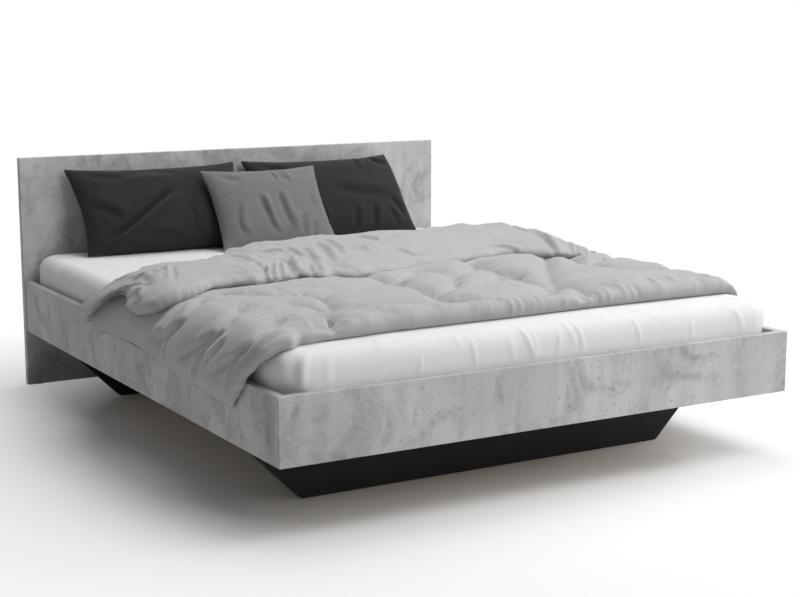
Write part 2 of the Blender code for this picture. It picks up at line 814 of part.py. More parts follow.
pillow_sizes = {
    "width": pillow_width,
    "height": pillow_height,
    "thickness": pillow_thickness,
    "lean": pillow_lean_angle,
    "sink": pillow_sink,
    "slump": pillow_slump,
}
cushion_sizes = {
    "width": cushion_width,
    "height": cushion_height,
    "thickness": cushion_thickness,
    "lean": cushion_lean_angle,
    "sink": cushion_sink,
    "slump": cushion_slump,
}


def pillow_point(u, v, face, sizes, narrowing):
    # u and v run from -1 to 1 across and up; face is 1 in front, -1 behind, 0 on the seam
    x = sizes["width"] / 2 * u * (1 - end_draw_share * (1 - v * v) * u * u)
    x -= sizes["slump"] / 2 * v + narrowing * max(0.0, u) ** 2 * max(0.0, v) ** 2
    up = sizes["height"] / 2 * v * (1 - side_draw_share * (1 - u * u) * v * v)
    up += sizes["height"] * ear_lift_share * u * u * max(0.0, -v) ** 3
    crown = (1 - abs(u) ** crown_corner_power) * (1 - abs(v) ** crown_corner_power)
    out = face * sizes["thickness"] / 2 * max(0.0, crown) ** crown_power * (1 - crown_sag_share * v)
    return Vector((x, -out, up))


def crowded(step, count):
    # From -1 to 1, with the steps closer together near both ends
    even = 2 * step / count - 1
    return even - (math.cos(math.pi * step / count) + even) * seam_crowding_share


def add_pillow(name, middle_x, middle_y, sizes, narrowing, back_limit, material):
    turn = Matrix.Rotation(-sizes["lean"], 4, "X")
    reach_down = math.hypot(sizes["height"] / 2 * math.cos(sizes["lean"]),
                            sizes["thickness"] / 2 * math.sin(sizes["lean"]))
    middle = Vector((middle_x, middle_y, bedding_seat + reach_down - sizes["sink"]))
    bm = bmesh.new()
    spots = {}

    def spot(column, row, face):
        on_seam = column in (0, pillow_columns) or row in (0, pillow_rows)
        key = (column, row, 0 if on_seam else face)
        if key not in spots:
            u = crowded(column, pillow_columns)
            v = crowded(row, pillow_rows)
            place = middle + turn @ pillow_point(u, v, key[2], sizes, narrowing)
            place.y = min(place.y, back_limit)
            place.z = max(place.z, bedding_seat)
            spots[key] = bm.verts.new(place)
        return spots[key]

    for face in (1, -1):
        for column in range(pillow_columns):
            for row in range(pillow_rows):
                corners = [spot(column, row, face), spot(column + 1, row, face),
                           spot(column + 1, row + 1, face), spot(column, row + 1, face)]
                if face < 0:
                    corners.reverse()
                bm.faces.new(corners)
    return finish_object(name, bm, material, middle, smooth=True, wound=True)


def make_pillows(charcoal, grey):
    back_limit = well_back_y - touch_gap
    reach_back = math.hypot(pillow_height / 2 * math.sin(pillow_lean_angle),
                            pillow_thickness / 2 * math.cos(pillow_lean_angle))
    pillow_y = back_limit - reach_back
    half_step = (pillow_width + pillow_gap) / 2
    add_pillow("pillow_left", pillow_shift - half_step, pillow_y, pillow_sizes, 0.0,
               back_limit, charcoal)
    add_pillow("pillow_right", pillow_shift + half_step, pillow_y, pillow_sizes,
               pillow_top_narrowing, back_limit, charcoal)
    add_pillow("cushion", cushion_shift, pillow_y - cushion_stand_off, cushion_sizes, 0.0,
               back_limit, grey)


def build():
    start_empty()
    laminate = make_material("concrete laminate", (0.42, 0.42, 0.41), 0.62)
    black_laminate = make_material("black laminate", (0.012, 0.012, 0.012), 0.55)
    timber = make_material("pine", (0.62, 0.45, 0.27), 0.6)
    webbing = make_material("webbing", (0.55, 0.55, 0.52), 0.9)
    steel = make_material("zinc-plated steel", (0.55, 0.56, 0.58), 0.35, 1.0)
    plastic = make_material("black plastic", (0.02, 0.02, 0.02), 0.5)
    foam = make_material("mattress cover", (0.75, 0.75, 0.73), 0.9)
    cotton = make_material("white cotton", (0.82, 0.82, 0.83), 0.85)
    quilt = make_material("grey cotton", (0.36, 0.36, 0.36), 0.9)
    charcoal = make_material("charcoal cotton", (0.035, 0.035, 0.037), 0.9)
    grey = make_material("mid grey cotton", (0.23, 0.23, 0.23), 0.9)
    make_panels(laminate)
    make_plinth(black_laminate)
    make_cleats(timber)
    make_beam(timber)
    make_slats(timber)
    make_straps(webbing)
    make_corner_brackets(steel)
    make_plinth_brackets(steel)
    make_beam_hangers(steel)
    make_glides(plastic)
    make_mattress(foam)
    make_sheet(cotton)
    make_duvet(quilt)
    make_pillows(charcoal, grey)


build()
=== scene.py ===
# Floating bed, dressed: finishes for the frame, and the mattress, sheet, duvet,
# pillows and cushion as cloth. Metres, +Z up, +Y towards the head.

import math
import bpy
import numpy as np
from mathutils import Euler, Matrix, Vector


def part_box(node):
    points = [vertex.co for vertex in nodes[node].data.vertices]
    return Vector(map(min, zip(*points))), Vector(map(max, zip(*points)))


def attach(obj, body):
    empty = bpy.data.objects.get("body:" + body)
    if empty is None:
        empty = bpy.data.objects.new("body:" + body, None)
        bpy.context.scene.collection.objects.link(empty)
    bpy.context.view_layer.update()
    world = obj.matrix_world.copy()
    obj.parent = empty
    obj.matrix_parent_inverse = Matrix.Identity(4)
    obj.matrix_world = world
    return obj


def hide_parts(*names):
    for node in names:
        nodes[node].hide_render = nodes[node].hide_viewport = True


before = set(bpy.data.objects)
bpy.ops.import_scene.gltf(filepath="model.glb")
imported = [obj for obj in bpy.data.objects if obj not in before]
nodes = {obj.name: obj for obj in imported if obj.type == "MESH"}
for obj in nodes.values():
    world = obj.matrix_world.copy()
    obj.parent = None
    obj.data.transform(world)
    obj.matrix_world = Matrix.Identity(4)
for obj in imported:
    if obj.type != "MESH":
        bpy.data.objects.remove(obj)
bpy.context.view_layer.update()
print("frame loaded,", len(nodes), "nodes")

# Places read from the frame
sheetLow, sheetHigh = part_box("fitted_sheet")
coreLow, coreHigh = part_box("mattress_core")
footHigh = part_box("foot_rail")[1]
wellFront = footHigh.y
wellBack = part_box("headboard")[0].y
halfBed = footHigh.x
touchGap = 0.0003
bedTop = sheetHigh.z + touchGap


# Material helpers

def setInputs(tree, node, inputs):
    # Each input is set, or linked where its value is another node's output
    for socket, value in inputs.items():
        if isinstance(value, bpy.types.NodeSocket):
            tree.links.new(value, node.inputs[socket])
        else:
            node.inputs[socket].default_value = value


def addNode(tree, kind, inputs, **settings):
    node = tree.nodes.new("ShaderNode" + kind)
    for name, value in settings.items():
        setattr(node, name, value)
    setInputs(tree, node, inputs)
    return node


def startMaterial(name, colour, roughness, metallic=0.0):
    material = bpy.data.materials.new(name)
    material.use_nodes = True
    tree = material.node_tree
    shader = tree.nodes["Principled BSDF"]
    setInputs(tree, shader, {"Base Color": (*colour, 1), "Roughness": roughness, "Metallic": metallic})
    return material, tree, shader


def objectPlace(tree, stretch=(1, 1, 1), turn=(0, 0, 0)):
    place = addNode(tree, "TexCoord", {}).outputs["Object"]
    return addNode(tree, "Mapping", {"Vector": place, "Scale": stretch, "Rotation": turn}).outputs["Vector"]


def clothPlace(tree, stretch=(1, 1, 1)):
    place = addNode(tree, "UVMap", {}, uv_map="cloth").outputs["UV"]
    return addNode(tree, "Mapping", {"Vector": place, "Scale": stretch}).outputs["Vector"]


def noiseValue(tree, stretch, scale, detail=3.0, roughness=0.5, distortion=0.0, placeOn=objectPlace):
    place = placeOn(tree, stretch)
    return addNode(tree, "TexNoise", {"Vector": place, "Scale": scale, "Detail": detail,
                                      "Roughness": roughness, "Distortion": distortion}).outputs["Fac"]


def waveValue(tree, place, scale, distortion=0.0, direction="X"):
    return addNode(tree, "TexWave", {"Vector": place, "Scale": scale, "Distortion": distortion},
                   bands_direction=direction).outputs["Fac"]


def maths(tree, operation, a, b=0.0):
    return addNode(tree, "Math", {0: a, 1: b}, operation=operation).outputs[0]


def weaveValue(tree, place, scaleX, scaleY, distortion=0.0, operation="MULTIPLY"):
    # Waves along both axes, combined
    waves = [waveValue(tree, place, scale, distortion, direction)
             for scale, direction in ((scaleX, "X"), (scaleY, "Y"))]
    return maths(tree, operation, *waves)


def fromTo(tree, value, low, high, newLow=0.0, newHigh=1.0):
    return addNode(tree, "MapRange", {"Value": value, "From Min": low, "From Max": high,
                                      "To Min": newLow, "To Max": newHigh}).outputs[0]


def mixColour(tree, share, a, b):
    a, b = (value if isinstance(value, bpy.types.NodeSocket) else (*value, 1) for value in (a, b))
    return addNode(tree, "Mix", {0: share, 6: a, 7: b}, data_type="RGBA").outputs[2]


def addTones(tree, shader, tone, *layers):
    # Each layer is a value, where it begins and where it is full, its greatest share and its colour
    for value, low, high, most, colour in layers:
        tone = mixColour(tree, fromTo(tree, value, low, high, 0.0, most), tone, colour)
    setInputs(tree, shader, {"Base Color": tone})


def addBump(tree, shader, height, strength, distance):
    bump = addNode(tree, "Bump", {"Height": height, "Strength": strength, "Distance": distance})
    before = shader.inputs["Normal"].links
    if before:
        tree.links.new(before[0].from_socket, bump.inputs["Normal"])
    setInputs(tree, shader, {"Normal": bump.outputs["Normal"]})


# Finishes of the frame

concrete = {
    "pale": (0.575, 0.573, 0.565),
    "middle": (0.465, 0.463, 0.455),
    "dark": (0.24, 0.238, 0.233),
    "speck": (0.12, 0.118, 0.115),
    "roughness": 0.58,
}


def makeConcreteLaminate():
    # Pale trowelled ground, blurred darker clouds with rough marks in them, faint upright
    # streaks, fine grain and small dark pits
    material, tree, shader = startMaterial("concreteLaminate", concrete["middle"], concrete["roughness"])
    ground = noiseValue(tree, (1, 1, 1), 3.1, 4.0, 0.55, 0.5)
    clouds = noiseValue(tree, (1, 1, 0.85), 7.5, 7.0, 0.60, 0.8)
    marks = noiseValue(tree, (1, 1, 0.75), 24.0, 6.0, 0.74, 1.5)
    streaks = noiseValue(tree, (20, 20, 1.4), 1.0, 4.0, 0.6, 0.3)
    grain = noiseValue(tree, (1, 1, 1), 260, 2.0, 0.6)
    spots = noiseValue(tree, (1, 1, 1), 75, 2.0, 0.5, 0.3)
    rubbed = fromTo(tree, marks, 0.52, 0.66, 0.0, 0.60)
    rubbed = maths(tree, "MULTIPLY", rubbed, fromTo(tree, clouds, 0.40, 0.58))
    pits = fromTo(tree, spots, 0.66, 0.74, 0.0, 0.65)
    pits = maths(tree, "MULTIPLY", pits, fromTo(tree, ground, 0.45, 0.56))
    addTones(tree, shader, concrete["middle"],
             (ground, 0.38, 0.62, 1.0, concrete["pale"]),
             (clouds, 0.48, 0.70, 0.80, concrete["dark"]),
             (rubbed, 0, 1, 1, concrete["dark"]),
             (marks, 0.47, 0.34, 0.40, concrete["pale"]),
             (streaks, 0.42, 0.70, 0.26, concrete["dark"]),
             (grain, 0.30, 0.75, 0.14, concrete["dark"]),
             (pits, 0, 1, 1, concrete["speck"]))
    setInputs(tree, shader, {"Roughness": fromTo(tree, marks, 0.3, 0.7, 0.50, 0.66)})
    addBump(tree, shader, grain, 0.25, 0.0004)
    addBump(tree, shader, marks, 0.20, 0.0008)
    return material


def makeBlackLaminate():
    material, tree, shader = startMaterial("blackLaminate", (0.010, 0.010, 0.011), 0.55)
    pores = noiseValue(tree, (30, 30, 900), 1.0, 3.0, 0.6)
    dust = noiseValue(tree, (1, 1, 1), 7.0, 4.0, 0.6)
    addTones(tree, shader, (0.007, 0.007, 0.008), (dust, 0.4, 0.7, 0.5, (0.014, 0.014, 0.015)))
    rough = fromTo(tree, pores, 0.3, 0.7, 0.42, 0.6)
    setInputs(tree, shader, {"Roughness": rough, "Specular IOR Level": 0.25})
    addBump(tree, shader, pores, 0.3, 0.0003)
    return material


def makePine(name, along, tint):
    # along is the board's long axis: 0 for X, 1 for Y
    material, tree, shader = startMaterial(name, tint, 0.6)
    squeeze = [1.1 if axis == along else 16.0 for axis in range(3)]
    rings = waveValue(tree, objectPlace(tree, squeeze), 1.3, 5.5, "Z")
    fibres = [9.0 if axis == along else 420.0 for axis in range(3)]
    fibre = noiseValue(tree, fibres, 1.0, 3.0, 0.6)
    boards = noiseValue(tree, [value / 8 for value in squeeze], 3.0, 2.0, 0.5)
    late = tuple(value * 0.66 for value in tint)
    pale = tuple(min(1.0, value * 1.18) for value in tint)
    addTones(tree, shader, pale, (rings, 0.35, 0.95, 0.7, late), (boards, 0.35, 0.7, 0.45, tint),
             (fibre, 0.35, 0.8, 0.35, late))
    addBump(tree, shader, fibre, 0.3, 0.0004)
    return material


def makeWebbing():
    material, tree, shader = startMaterial("webbing", (0.55, 0.55, 0.52), 0.9)
    weave = weaveValue(tree, objectPlace(tree), 300, 420, 0.4)
    addTones(tree, shader, (0.42, 0.42, 0.40), (weave, 0, 1, 1, (0.66, 0.66, 0.63)))
    setInputs(tree, shader, {"Sheen Weight": 0.15})
    addBump(tree, shader, weave, 0.6, 0.0006)
    return material


def makeZincSteel():
    material, tree, shader = startMaterial("zincSteel", (0.60, 0.61, 0.63), 0.34, 1.0)
    spangle = noiseValue(tree, (1, 1, 1), 190, 2.0, 0.4, 1.2)
    rub = noiseValue(tree, (40, 40, 500), 1.0, 3.0, 0.6)
    addTones(tree, shader, (0.50, 0.51, 0.53), (spangle, 0.35, 0.65, 1, (0.68, 0.69, 0.70)))
    setInputs(tree, shader, {"Roughness": fromTo(tree, rub, 0.3, 0.7, 0.27, 0.44)})
    addBump(tree, shader, rub, 0.15, 0.0002)
    return material


def makeBlackPlastic():
    material, tree, shader = startMaterial("blackPlastic", (0.02, 0.02, 0.02), 0.5)
    grain = noiseValue(tree, (1, 1, 1), 900, 2.0, 0.5)
    addTones(tree, shader, (0.015, 0.015, 0.015), (grain, 0, 1, 1, (0.03, 0.03, 0.03)))
    addBump(tree, shader, grain, 0.4, 0.0002)
    return material


def paint(material, *prefixes):
    for name, node in nodes.items():
        if name.startswith(prefixes):
            node.data.materials.clear()
            node.data.materials.append(material)


paint(makeConcreteLaminate(), "foot_rail", "rail_left", "rail_right", "headboard")
paint(makeBlackLaminate(), "plinth_front", "plinth_rear")
paint(makePine("pineSlats", 0, (0.66, 0.49, 0.30)), "slat_0", "slat_1")
paint(makePine("pineBeams", 1, (0.60, 0.44, 0.27)), "centre_beam", "cleat_")
paint(makeWebbing(), "slat_strap")
paint(makeZincSteel(), "corner_bracket", "plinth_bracket", "beam_hanger", "rail_screw", "end_screw")
paint(makeBlackPlastic(), "glide_")
print("frame finished")


# Fabrics

def makeCotton(name, colour, spread, roughness=0.86, sheen=0.12):
    # Woven cotton on the piece's own cloth map: two sets of threads, slubs and soft mottling
    material, tree, shader = startMaterial(name, colour, roughness)
    weave = weaveValue(tree, clothPlace(tree), 900, 900, 0.6)
    slub = noiseValue(tree, (260, 900, 1), 1.0, 2.0, 0.6, placeOn=clothPlace)
    mottle = noiseValue(tree, (1, 1, 1), 9.0, 5.0, 0.65)
    grain = noiseValue(tree, (1, 1, 1), 420.0, 3.0, 0.7, placeOn=clothPlace)
    low = tuple(value * (1 - spread) for value in colour)
    high = tuple(min(1.0, value * (1 + spread)) for value in colour)
    addTones(tree, shader, low, (grain, 0.3, 0.7, 1, high), (mottle, 0.35, 0.7, 0.5, high),
             (slub, 0.45, 0.8, 0.4, low))
    setInputs(tree, shader, {"Specular IOR Level": 0.25, "Sheen Weight": sheen, "Sheen Roughness": 0.5})
    addBump(tree, shader, weave, 0.25, 0.0004)
    addBump(tree, shader, grain, 0.3, 0.0005)
    return material


# Height tables, creases and noise that every cloth piece shares

def tableAt(table, place):
    # Smooth value between given pairs of place and value
    keys, values = table.T
    index = np.clip(np.searchsorted(keys, place, side="right") - 1, 0, len(keys) - 2)
    part = np.clip((place - keys[index]) / (keys[index + 1] - keys[index]), 0, 1)
    ease = part * part * (3 - 2 * part)
    return values[index] + (values[index + 1] - values[index]) * ease


def easeIn(value):
    value = np.clip(value, 0, 1)
    return value * value * (3 - 2 * value)


def between(value, low, high, rise, fall):
    # 1 between low and high; it eases in over rise and out over fall
    return easeIn((value - low) / rise) * easeIn((high - value) / fall)


def bell(value, width):
    return np.exp(-(value / width) ** 2)


def softNoise(a, b, size, seed):
    # Smooth random height from -1 to 1, one bump to each size
    table = np.random.default_rng(seed).uniform(-1, 1, (97, 97))
    i, j = a / size, b / size
    i0, j0 = np.floor(i).astype(int), np.floor(j).astype(int)
    fi, fj = easeIn(i - i0), easeIn(j - j0)
    corner = [table[(i0 + di) % 97, (j0 + dj) % 97] for di in (0, 1) for dj in (0, 1)]
    low = corner[0] * (1 - fj) + corner[1] * fj
    high = corner[2] * (1 - fj) + corner[3] * fj
    return low * (1 - fi) + high * fi


def smoothLine(points, steps=5):
    # Rounds a given line through its points
    points = [np.array(point, float) for point in points]
    if len(points) < 3:
        return np.array(points)
    ends = [2 * points[0] - points[1], *points, 2 * points[-1] - points[-2]]
    line = []
    for a, b, c, d in zip(ends, ends[1:], ends[2:], ends[3:]):
        for step in range(steps):
            t = step / steps
            line.append(0.5 * (2 * b + (c - a) * t + (2 * a - 5 * b + 4 * c - d) * t * t
                               + (3 * b - a - 3 * c + d) * t ** 3))
    return np.array([*line, points[-1]])


def nearLine(a, b, points):
    # Signed distance to a line, and how far along it the nearest place is
    line = smoothLine(points)
    lengths = np.concatenate([[0], np.cumsum(np.linalg.norm(np.diff(line, axis=0), axis=1))])
    best = np.full(a.shape, 1e9)
    side = np.ones(a.shape)
    share = np.zeros(a.shape)
    for number, ((ax, ay), (bx, by)) in enumerate(zip(line, line[1:])):
        dx, dy = bx - ax, by - ay
        size = dx * dx + dy * dy
        part = np.clip(((a - ax) * dx + (b - ay) * dy) / size, 0, 1)
        gone = np.hypot(a - ax - part * dx, b - ay - part * dy)
        closer = gone < best
        best = np.where(closer, gone, best)
        turn = dx * (b - ay) - dy * (a - ax)
        side = np.where(closer, np.where(turn >= 0, 1.0, -1.0), side)
        at = (lengths[number] + part * math.sqrt(size)) / lengths[-1]
        share = np.where(closer, at, share)
    return best * side, share


def foldHeight(a, b, fold):
    # A full roll on the line's right side that drops steeply to a sharp valley on the line,
    # and a slow rise beyond it; both fade at the ends
    points, depth, width, lip = fold
    gone, share = nearLine(a, b, points)
    fade = between(share, 0, 1, 0.16, 0.24)
    back = np.maximum(-gone, 0) / width
    ahead = np.maximum(gone, 0) / width
    roll = -depth + (depth + lip) * easeIn(back / 1.5)
    roll = np.where(back > 1.5, lip * bell(back - 1.5, 2.6), roll)
    return fade * np.where(gone < 0, roll, -depth * np.exp(-ahead / 1.7))


def creaseHeight(a, b, crease):
    # A valley along a line with a rounded lip on its left side; both fade at the ends
    points, depth, width, lip = crease
    gone, share = nearLine(a, b, points)
    ridge = bell(gone - 1.7 * width, 1.5 * width)
    return between(share, 0, 1, 0.22, 0.30) * (lip * ridge - depth * bell(gone, width))


def inPairs(numbers):
    # Two thousandths in each row, as metres or shares
    return np.reshape(numbers, (-1, 2)) / 1000


def inMetres(rows):
    # Rows in millimetres: the x and y of a line's points in turn, then its depth, width and lip
    return [(inPairs(row[0]), *(value / 1000 for value in row[1:])) for row in rows]


def quads(grid, corners=(0, 1, 2, 3)):
    # The four point numbers round each cell of a grid
    return np.stack([grid[:-1, :-1], grid[1:, :-1], grid[1:, 1:], grid[:-1, 1:]], -1)[..., corners]


# Cloth simulation: the piece starts in its shaped form, and its cut is a little larger,
# so the spare cloth and the filling's pressure raise the puckers by themselves

cloth = {
    "quality": 4,
    "mass": 0.3,
    "damping": 2.0,
    "stretch": 18,
    "shear": 6,
    "frames": 12,
    "cap": 0.020,
}


def settleCloth(points, faces, cut, hold, bending, pressure):
    scene = bpy.context.scene
    mesh = bpy.data.meshes.new("clothWork")
    mesh.from_pydata(points.tolist(), [], faces)
    work = bpy.data.objects.new("clothWork", mesh)
    scene.collection.objects.link(work)
    work.shape_key_add(name="shaped")
    cutKey = work.shape_key_add(name="cut")
    cutKey.data.foreach_set("co", cut.astype(np.float32).ravel())
    group = work.vertex_groups.new(name="hold")
    levels = np.round(hold, 2)
    for level in np.unique(levels[levels > 0]):
        group.add(np.flatnonzero(levels == level).tolist(), float(level), "REPLACE")
    modifier = work.modifiers.new("cloth", "CLOTH")
    settings = modifier.settings
    settings.quality = cloth["quality"]
    settings.mass = cloth["mass"]
    settings.air_damping = cloth["damping"]
    settings.tension_stiffness = cloth["stretch"]
    settings.compression_stiffness = cloth["stretch"]
    settings.shear_stiffness = cloth["shear"]
    settings.bending_stiffness = bending
    settings.use_pressure = True
    settings.uniform_pressure_force = pressure
    settings.effector_weights.gravity = 0
    settings.vertex_group_mass = "hold"
    settings.rest_shape_key = cutKey
    modifier.collision_settings.use_collision = False
    for number in range(1, cloth["frames"] + 1):
        scene.frame_set(number)
    settled = work.evaluated_get(bpy.context.evaluated_depsgraph_get())
    moved = np.empty(len(points) * 3, np.float32)
    settled.data.vertices.foreach_get("co", moved)
    moved = moved.reshape(-1, 3).astype(float)
    bpy.data.objects.remove(work)
    scene.frame_set(1)
    shift = moved - points
    size = np.linalg.norm(shift, axis=1)
    allowed = cloth["cap"] * np.tanh(size / cloth["cap"])
    print("  cloth settled:", len(points), "points, mean shift", round(float(size.mean()) * 1000, 1), "mm")
    return points + shift * (allowed / np.maximum(size, 1e-9))[:, None]


def clothPiece(name, points, faces, flatPlaces, material, smooth=1):
    # The finished piece with its cloth map; smooth is how often it is subdivided
    mesh = bpy.data.meshes.new(name)
    mesh.from_pydata(points.tolist(), [], faces)
    piece = bpy.data.objects.new(name, mesh)
    bpy.context.scene.collection.objects.link(piece)
    uv = mesh.uv_layers.new(name="cloth")
    loops = np.empty(len(mesh.loops), int)
    mesh.loops.foreach_get("vertex_index", loops)
    uv.data.foreach_set("uv", flatPlaces[loops].astype(np.float32).ravel())
    mesh.materials.append(material)
    bpy.ops.object.select_all(action="DESELECT")
    bpy.context.view_layer.objects.active = piece
    piece.select_set(True)
    if smooth:
        finer = piece.modifiers.new("finer", "SUBSURF")
        finer.levels = smooth
        finer.render_levels = smooth
        bpy.ops.object.modifier_apply(modifier=finer.name)
    bpy.ops.object.shade_smooth()
    piece.select_set(False)
    return piece


# Mattress: a block with rounded corners, then rounded edges

mattress = {
    "cornerRadius": 0.080,
    "edgeRadius": 0.045,
    "cornerSteps": 10,
    "edgeSteps": 8,
}


def roundEdges(block, upright, radius, steps):
    # Rounds the upright edges, or else those that lie
    bpy.ops.mesh.select_mode(type="EDGE")
    bpy.ops.mesh.select_all(action="DESELECT")
    bpy.ops.object.mode_set(mode="OBJECT")
    for edge in block.data.edges:
        first, second = (block.data.vertices[index].co.z for index in edge.vertices)
        edge.select = abs(first - second) > 0.1 if upright else abs(first - second) < 0.001
    bpy.ops.object.mode_set(mode="EDIT")
    bpy.ops.mesh.bevel(offset=radius, segments=steps, affect="EDGES")


def addMattress(material):
    bpy.ops.object.select_all(action="DESELECT")
    bpy.ops.mesh.primitive_cube_add(size=1, location=(0, 0, 0))
    block = bpy.context.object
    block.name = "mattress_core_foam"
    bpy.ops.object.mode_set(mode="EDIT")
    bpy.ops.mesh.select_all(action="SELECT")
    bpy.ops.transform.resize(value=tuple(coreHigh - coreLow), center_override=(0, 0, 0))
    bpy.ops.transform.translate(value=tuple((coreLow + coreHigh) / 2))
    roundEdges(block, True, mattress["cornerRadius"], mattress["cornerSteps"])
    roundEdges(block, False, mattress["edgeRadius"], mattress["edgeSteps"])
    bpy.ops.mesh.select_all(action="SELECT")
    bpy.ops.mesh.normals_make_consistent(inside=False)
    bpy.ops.mesh.select_all(action="DESELECT")
    bpy.ops.object.mode_set(mode="OBJECT")
    block.data.materials.append(material)
    bpy.ops.object.shade_smooth_by_angle(angle=math.radians(30))
    block.select_set(False)
    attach(block, "mattress")
    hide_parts("mattress_core")


def makeTicking():
    # Knitted cover, quilted in a small diamond
    material, tree, shader = startMaterial("mattressTicking", (0.66, 0.66, 0.64), 0.85)
    crossed = objectPlace(tree, (1, 1, 1), (0, 0, math.radians(45)))
    quilt = weaveValue(tree, crossed, 4.4, 4.4, operation="MAXIMUM")
    knit = weaveValue(tree, objectPlace(tree), 190, 190, 0.5)
    addTones(tree, shader, (0.68, 0.68, 0.66), (quilt, 0.93, 1.0, 0.5, (0.48, 0.48, 0.47)),
             (knit, 0, 1, 0.2, (0.5, 0.5, 0.49)))
    addBump(tree, shader, knit, 0.4, 0.0005)
    addBump(tree, shader, maths(tree, "MULTIPLY", quilt, -1.0), 0.5, 0.003)
    return material


addMattress(makeTicking())
print("mattress made")


# Fitted sheet: a thin wrapped cover, its creases placed along the edge of the mattress

sheet = {
    "thickness": 0.0010,
    "hem": 0.110,
    "footStep": 0.0052,
    "sideStep": 0.0165,
    "looseness": 0.0016,
    "tuckedLift": 0.0007,
    "flat": (2.22, 2.62),
    "area": 5.43,
}
# Creases by place along the foot edge (from its middle) and distance up over the edge:
# line, height, width
sheetCreases = inMetres((
    ((-797, -4, -802, -60, -800, -150), 9.5, 14),
    ((-748, -8, -752, -60, -752, -150), 8, 12.5),
    ((-690, -10, -684, -60, -688, -150), 2.5, 14),
    ((-412, -45, -416, -90, -416, -165), 3, 6),
    ((-262, -15, -250, -75, -234, -165), 3.2, 6),
    ((-310, 10, -300, -30, -292, -60), 1.8, 9),
    ((-145, -30, -130, -80, -118, -120), 2.2, 9),
    ((-100, 10, -85, -40, -60, -100, -45, -165), 4.5, 7),
    ((-62, -20, -52, -80, -46, -160), 2.4, 6),
    ((30, -20, 22, -80, 15, -165), 2.5, 7),
    ((82, 0, 96, -60, 115, -165), 3.8, 7),
    ((55, 5, 62, -40, 75, -80), 2.5, 8),
    ((282, -5, 296, -70, 318, -165), 3.5, 6.5),
    ((340, 30, 365, -20, 395, -45), 2.2, 6),
    ((365, 35, 385, -5, 405, -30), 2, 5),
    ((486, -40, 486, -90, 488, -160), 3.5, 5),
    ((640, -10, 665, -60, 690, -150), 3, 10),
    ((-560, 60, -540, 10, -530, -40), 1.8, 9),
    ((180, 50, 190, 0, 210, -40), 1.6, 8),
    ((780, -5, 790, -70, 785, -150), 4, 8),
    ((-2500, 30, -2470, -40, -2450, -120), 3, 12),
    ((-2250, 20, -2230, -50, -2240, -130), 3, 12),
    ((-2700, 20, -2690, -50, -2680, -130), 3, 12),
))
# Soft creases on the uncovered top (across, along the bed): line, height, width
sheetTopCreases = inMetres((
    ((-620, 1360, -450, 1300, -280, 1270), 2.2, 14),
    ((-700, 1200, -550, 1160, -400, 1170), 2, 18),
    ((-740, 1460, -660, 1360, -600, 1240), 2.2, 14),
    ((740, 1450, 660, 1360, 600, 1280), 2.2, 14),
    ((-400, -235, -250, -225, -100, -230), 1.5, 18),
    ((300, -200, 360, -240, 420, -262), 1.8, 8),
    ((480, -220, 580, -215, 660, -235), 1.4, 14),
))


sheetGrow = sheetHigh.x - coreHigh.x


def sheetProfile():
    # Inset from the side, height, outward and upward share, and distance from the top edge
    radius = mattress["edgeRadius"] + sheetGrow
    bottom, top = sheetLow.z, sheetHigh.z
    rows = []
    for inset in np.linspace(sheet["hem"], radius, 6)[:-1]:
        rows.append((inset, bottom, 0.0, -1.0))
    for angle in np.linspace(0, math.pi / 2, 6):
        rows.append((radius * (1 - math.sin(angle)), bottom + radius * (1 - math.cos(angle)),
                     math.sin(angle), -math.cos(angle)))
    for height in np.linspace(bottom + radius, top - radius, 13)[1:-1]:
        rows.append((0.0, height, 1.0, 0.0))
    for angle in np.linspace(0, math.pi / 2, 11):
        rows.append((radius * (1 - math.cos(angle)), top - radius * (1 - math.sin(angle)),
                     math.cos(angle), math.sin(angle)))
    for inset in (*np.arange(0.055, 0.30, 0.011), *np.arange(0.32, 0.78, 0.04)):
        rows.append((inset, top, 0.0, 1.0))
    rows = np.array(rows)
    steps = np.hypot(np.diff(rows[:, 0]), np.diff(rows[:, 1]))
    along = np.concatenate([[0], np.cumsum(steps)])
    edge = int(np.argmax(rows[:, 3] > 0.99999))
    return rows, along - along[edge]


def sheetRing(inset):
    # Ring of places drawn in from the side, and each one's outward direction and edge place
    halfX, halfY = sheetHigh.x, (sheetHigh.y - sheetLow.y) / 2
    corner = max(mattress["cornerRadius"] + sheetGrow - inset, 0.0001)
    reachX, reachY = halfX - inset - corner, halfY - inset - corner
    arc = corner * math.pi / 4
    places, outs, marks = [], [], []
    for side in range(4):
        odd = side % 2
        length = reachY if odd else reachX
        full = (halfY if odd else halfX) * 2
        count = round(full / sheet["sideStep" if side else "footStep"])
        fullHalf = full / 2 - mattress["cornerRadius"] * (1 - math.pi / 4)
        for step in range(count):
            share = 2 * step / count - 1
            distance = share * (length + arc)
            straight = max(-length, min(length, distance))
            angle = (distance - straight) / corner
            turn = (math.sin(angle), math.cos(angle))
            spot = (straight + corner * turn[0], (reachX if odd else reachY) + corner * turn[1])
            for pair, kept in ((spot, places), (turn, outs)):
                kept.append(((pair[0], -pair[1]), (pair[1], pair[0]),
                             (-pair[0], pair[1]), (-pair[1], -pair[0]))[side])
            marks.append((side, share * fullHalf))
    return np.array(places), np.array(outs), marks


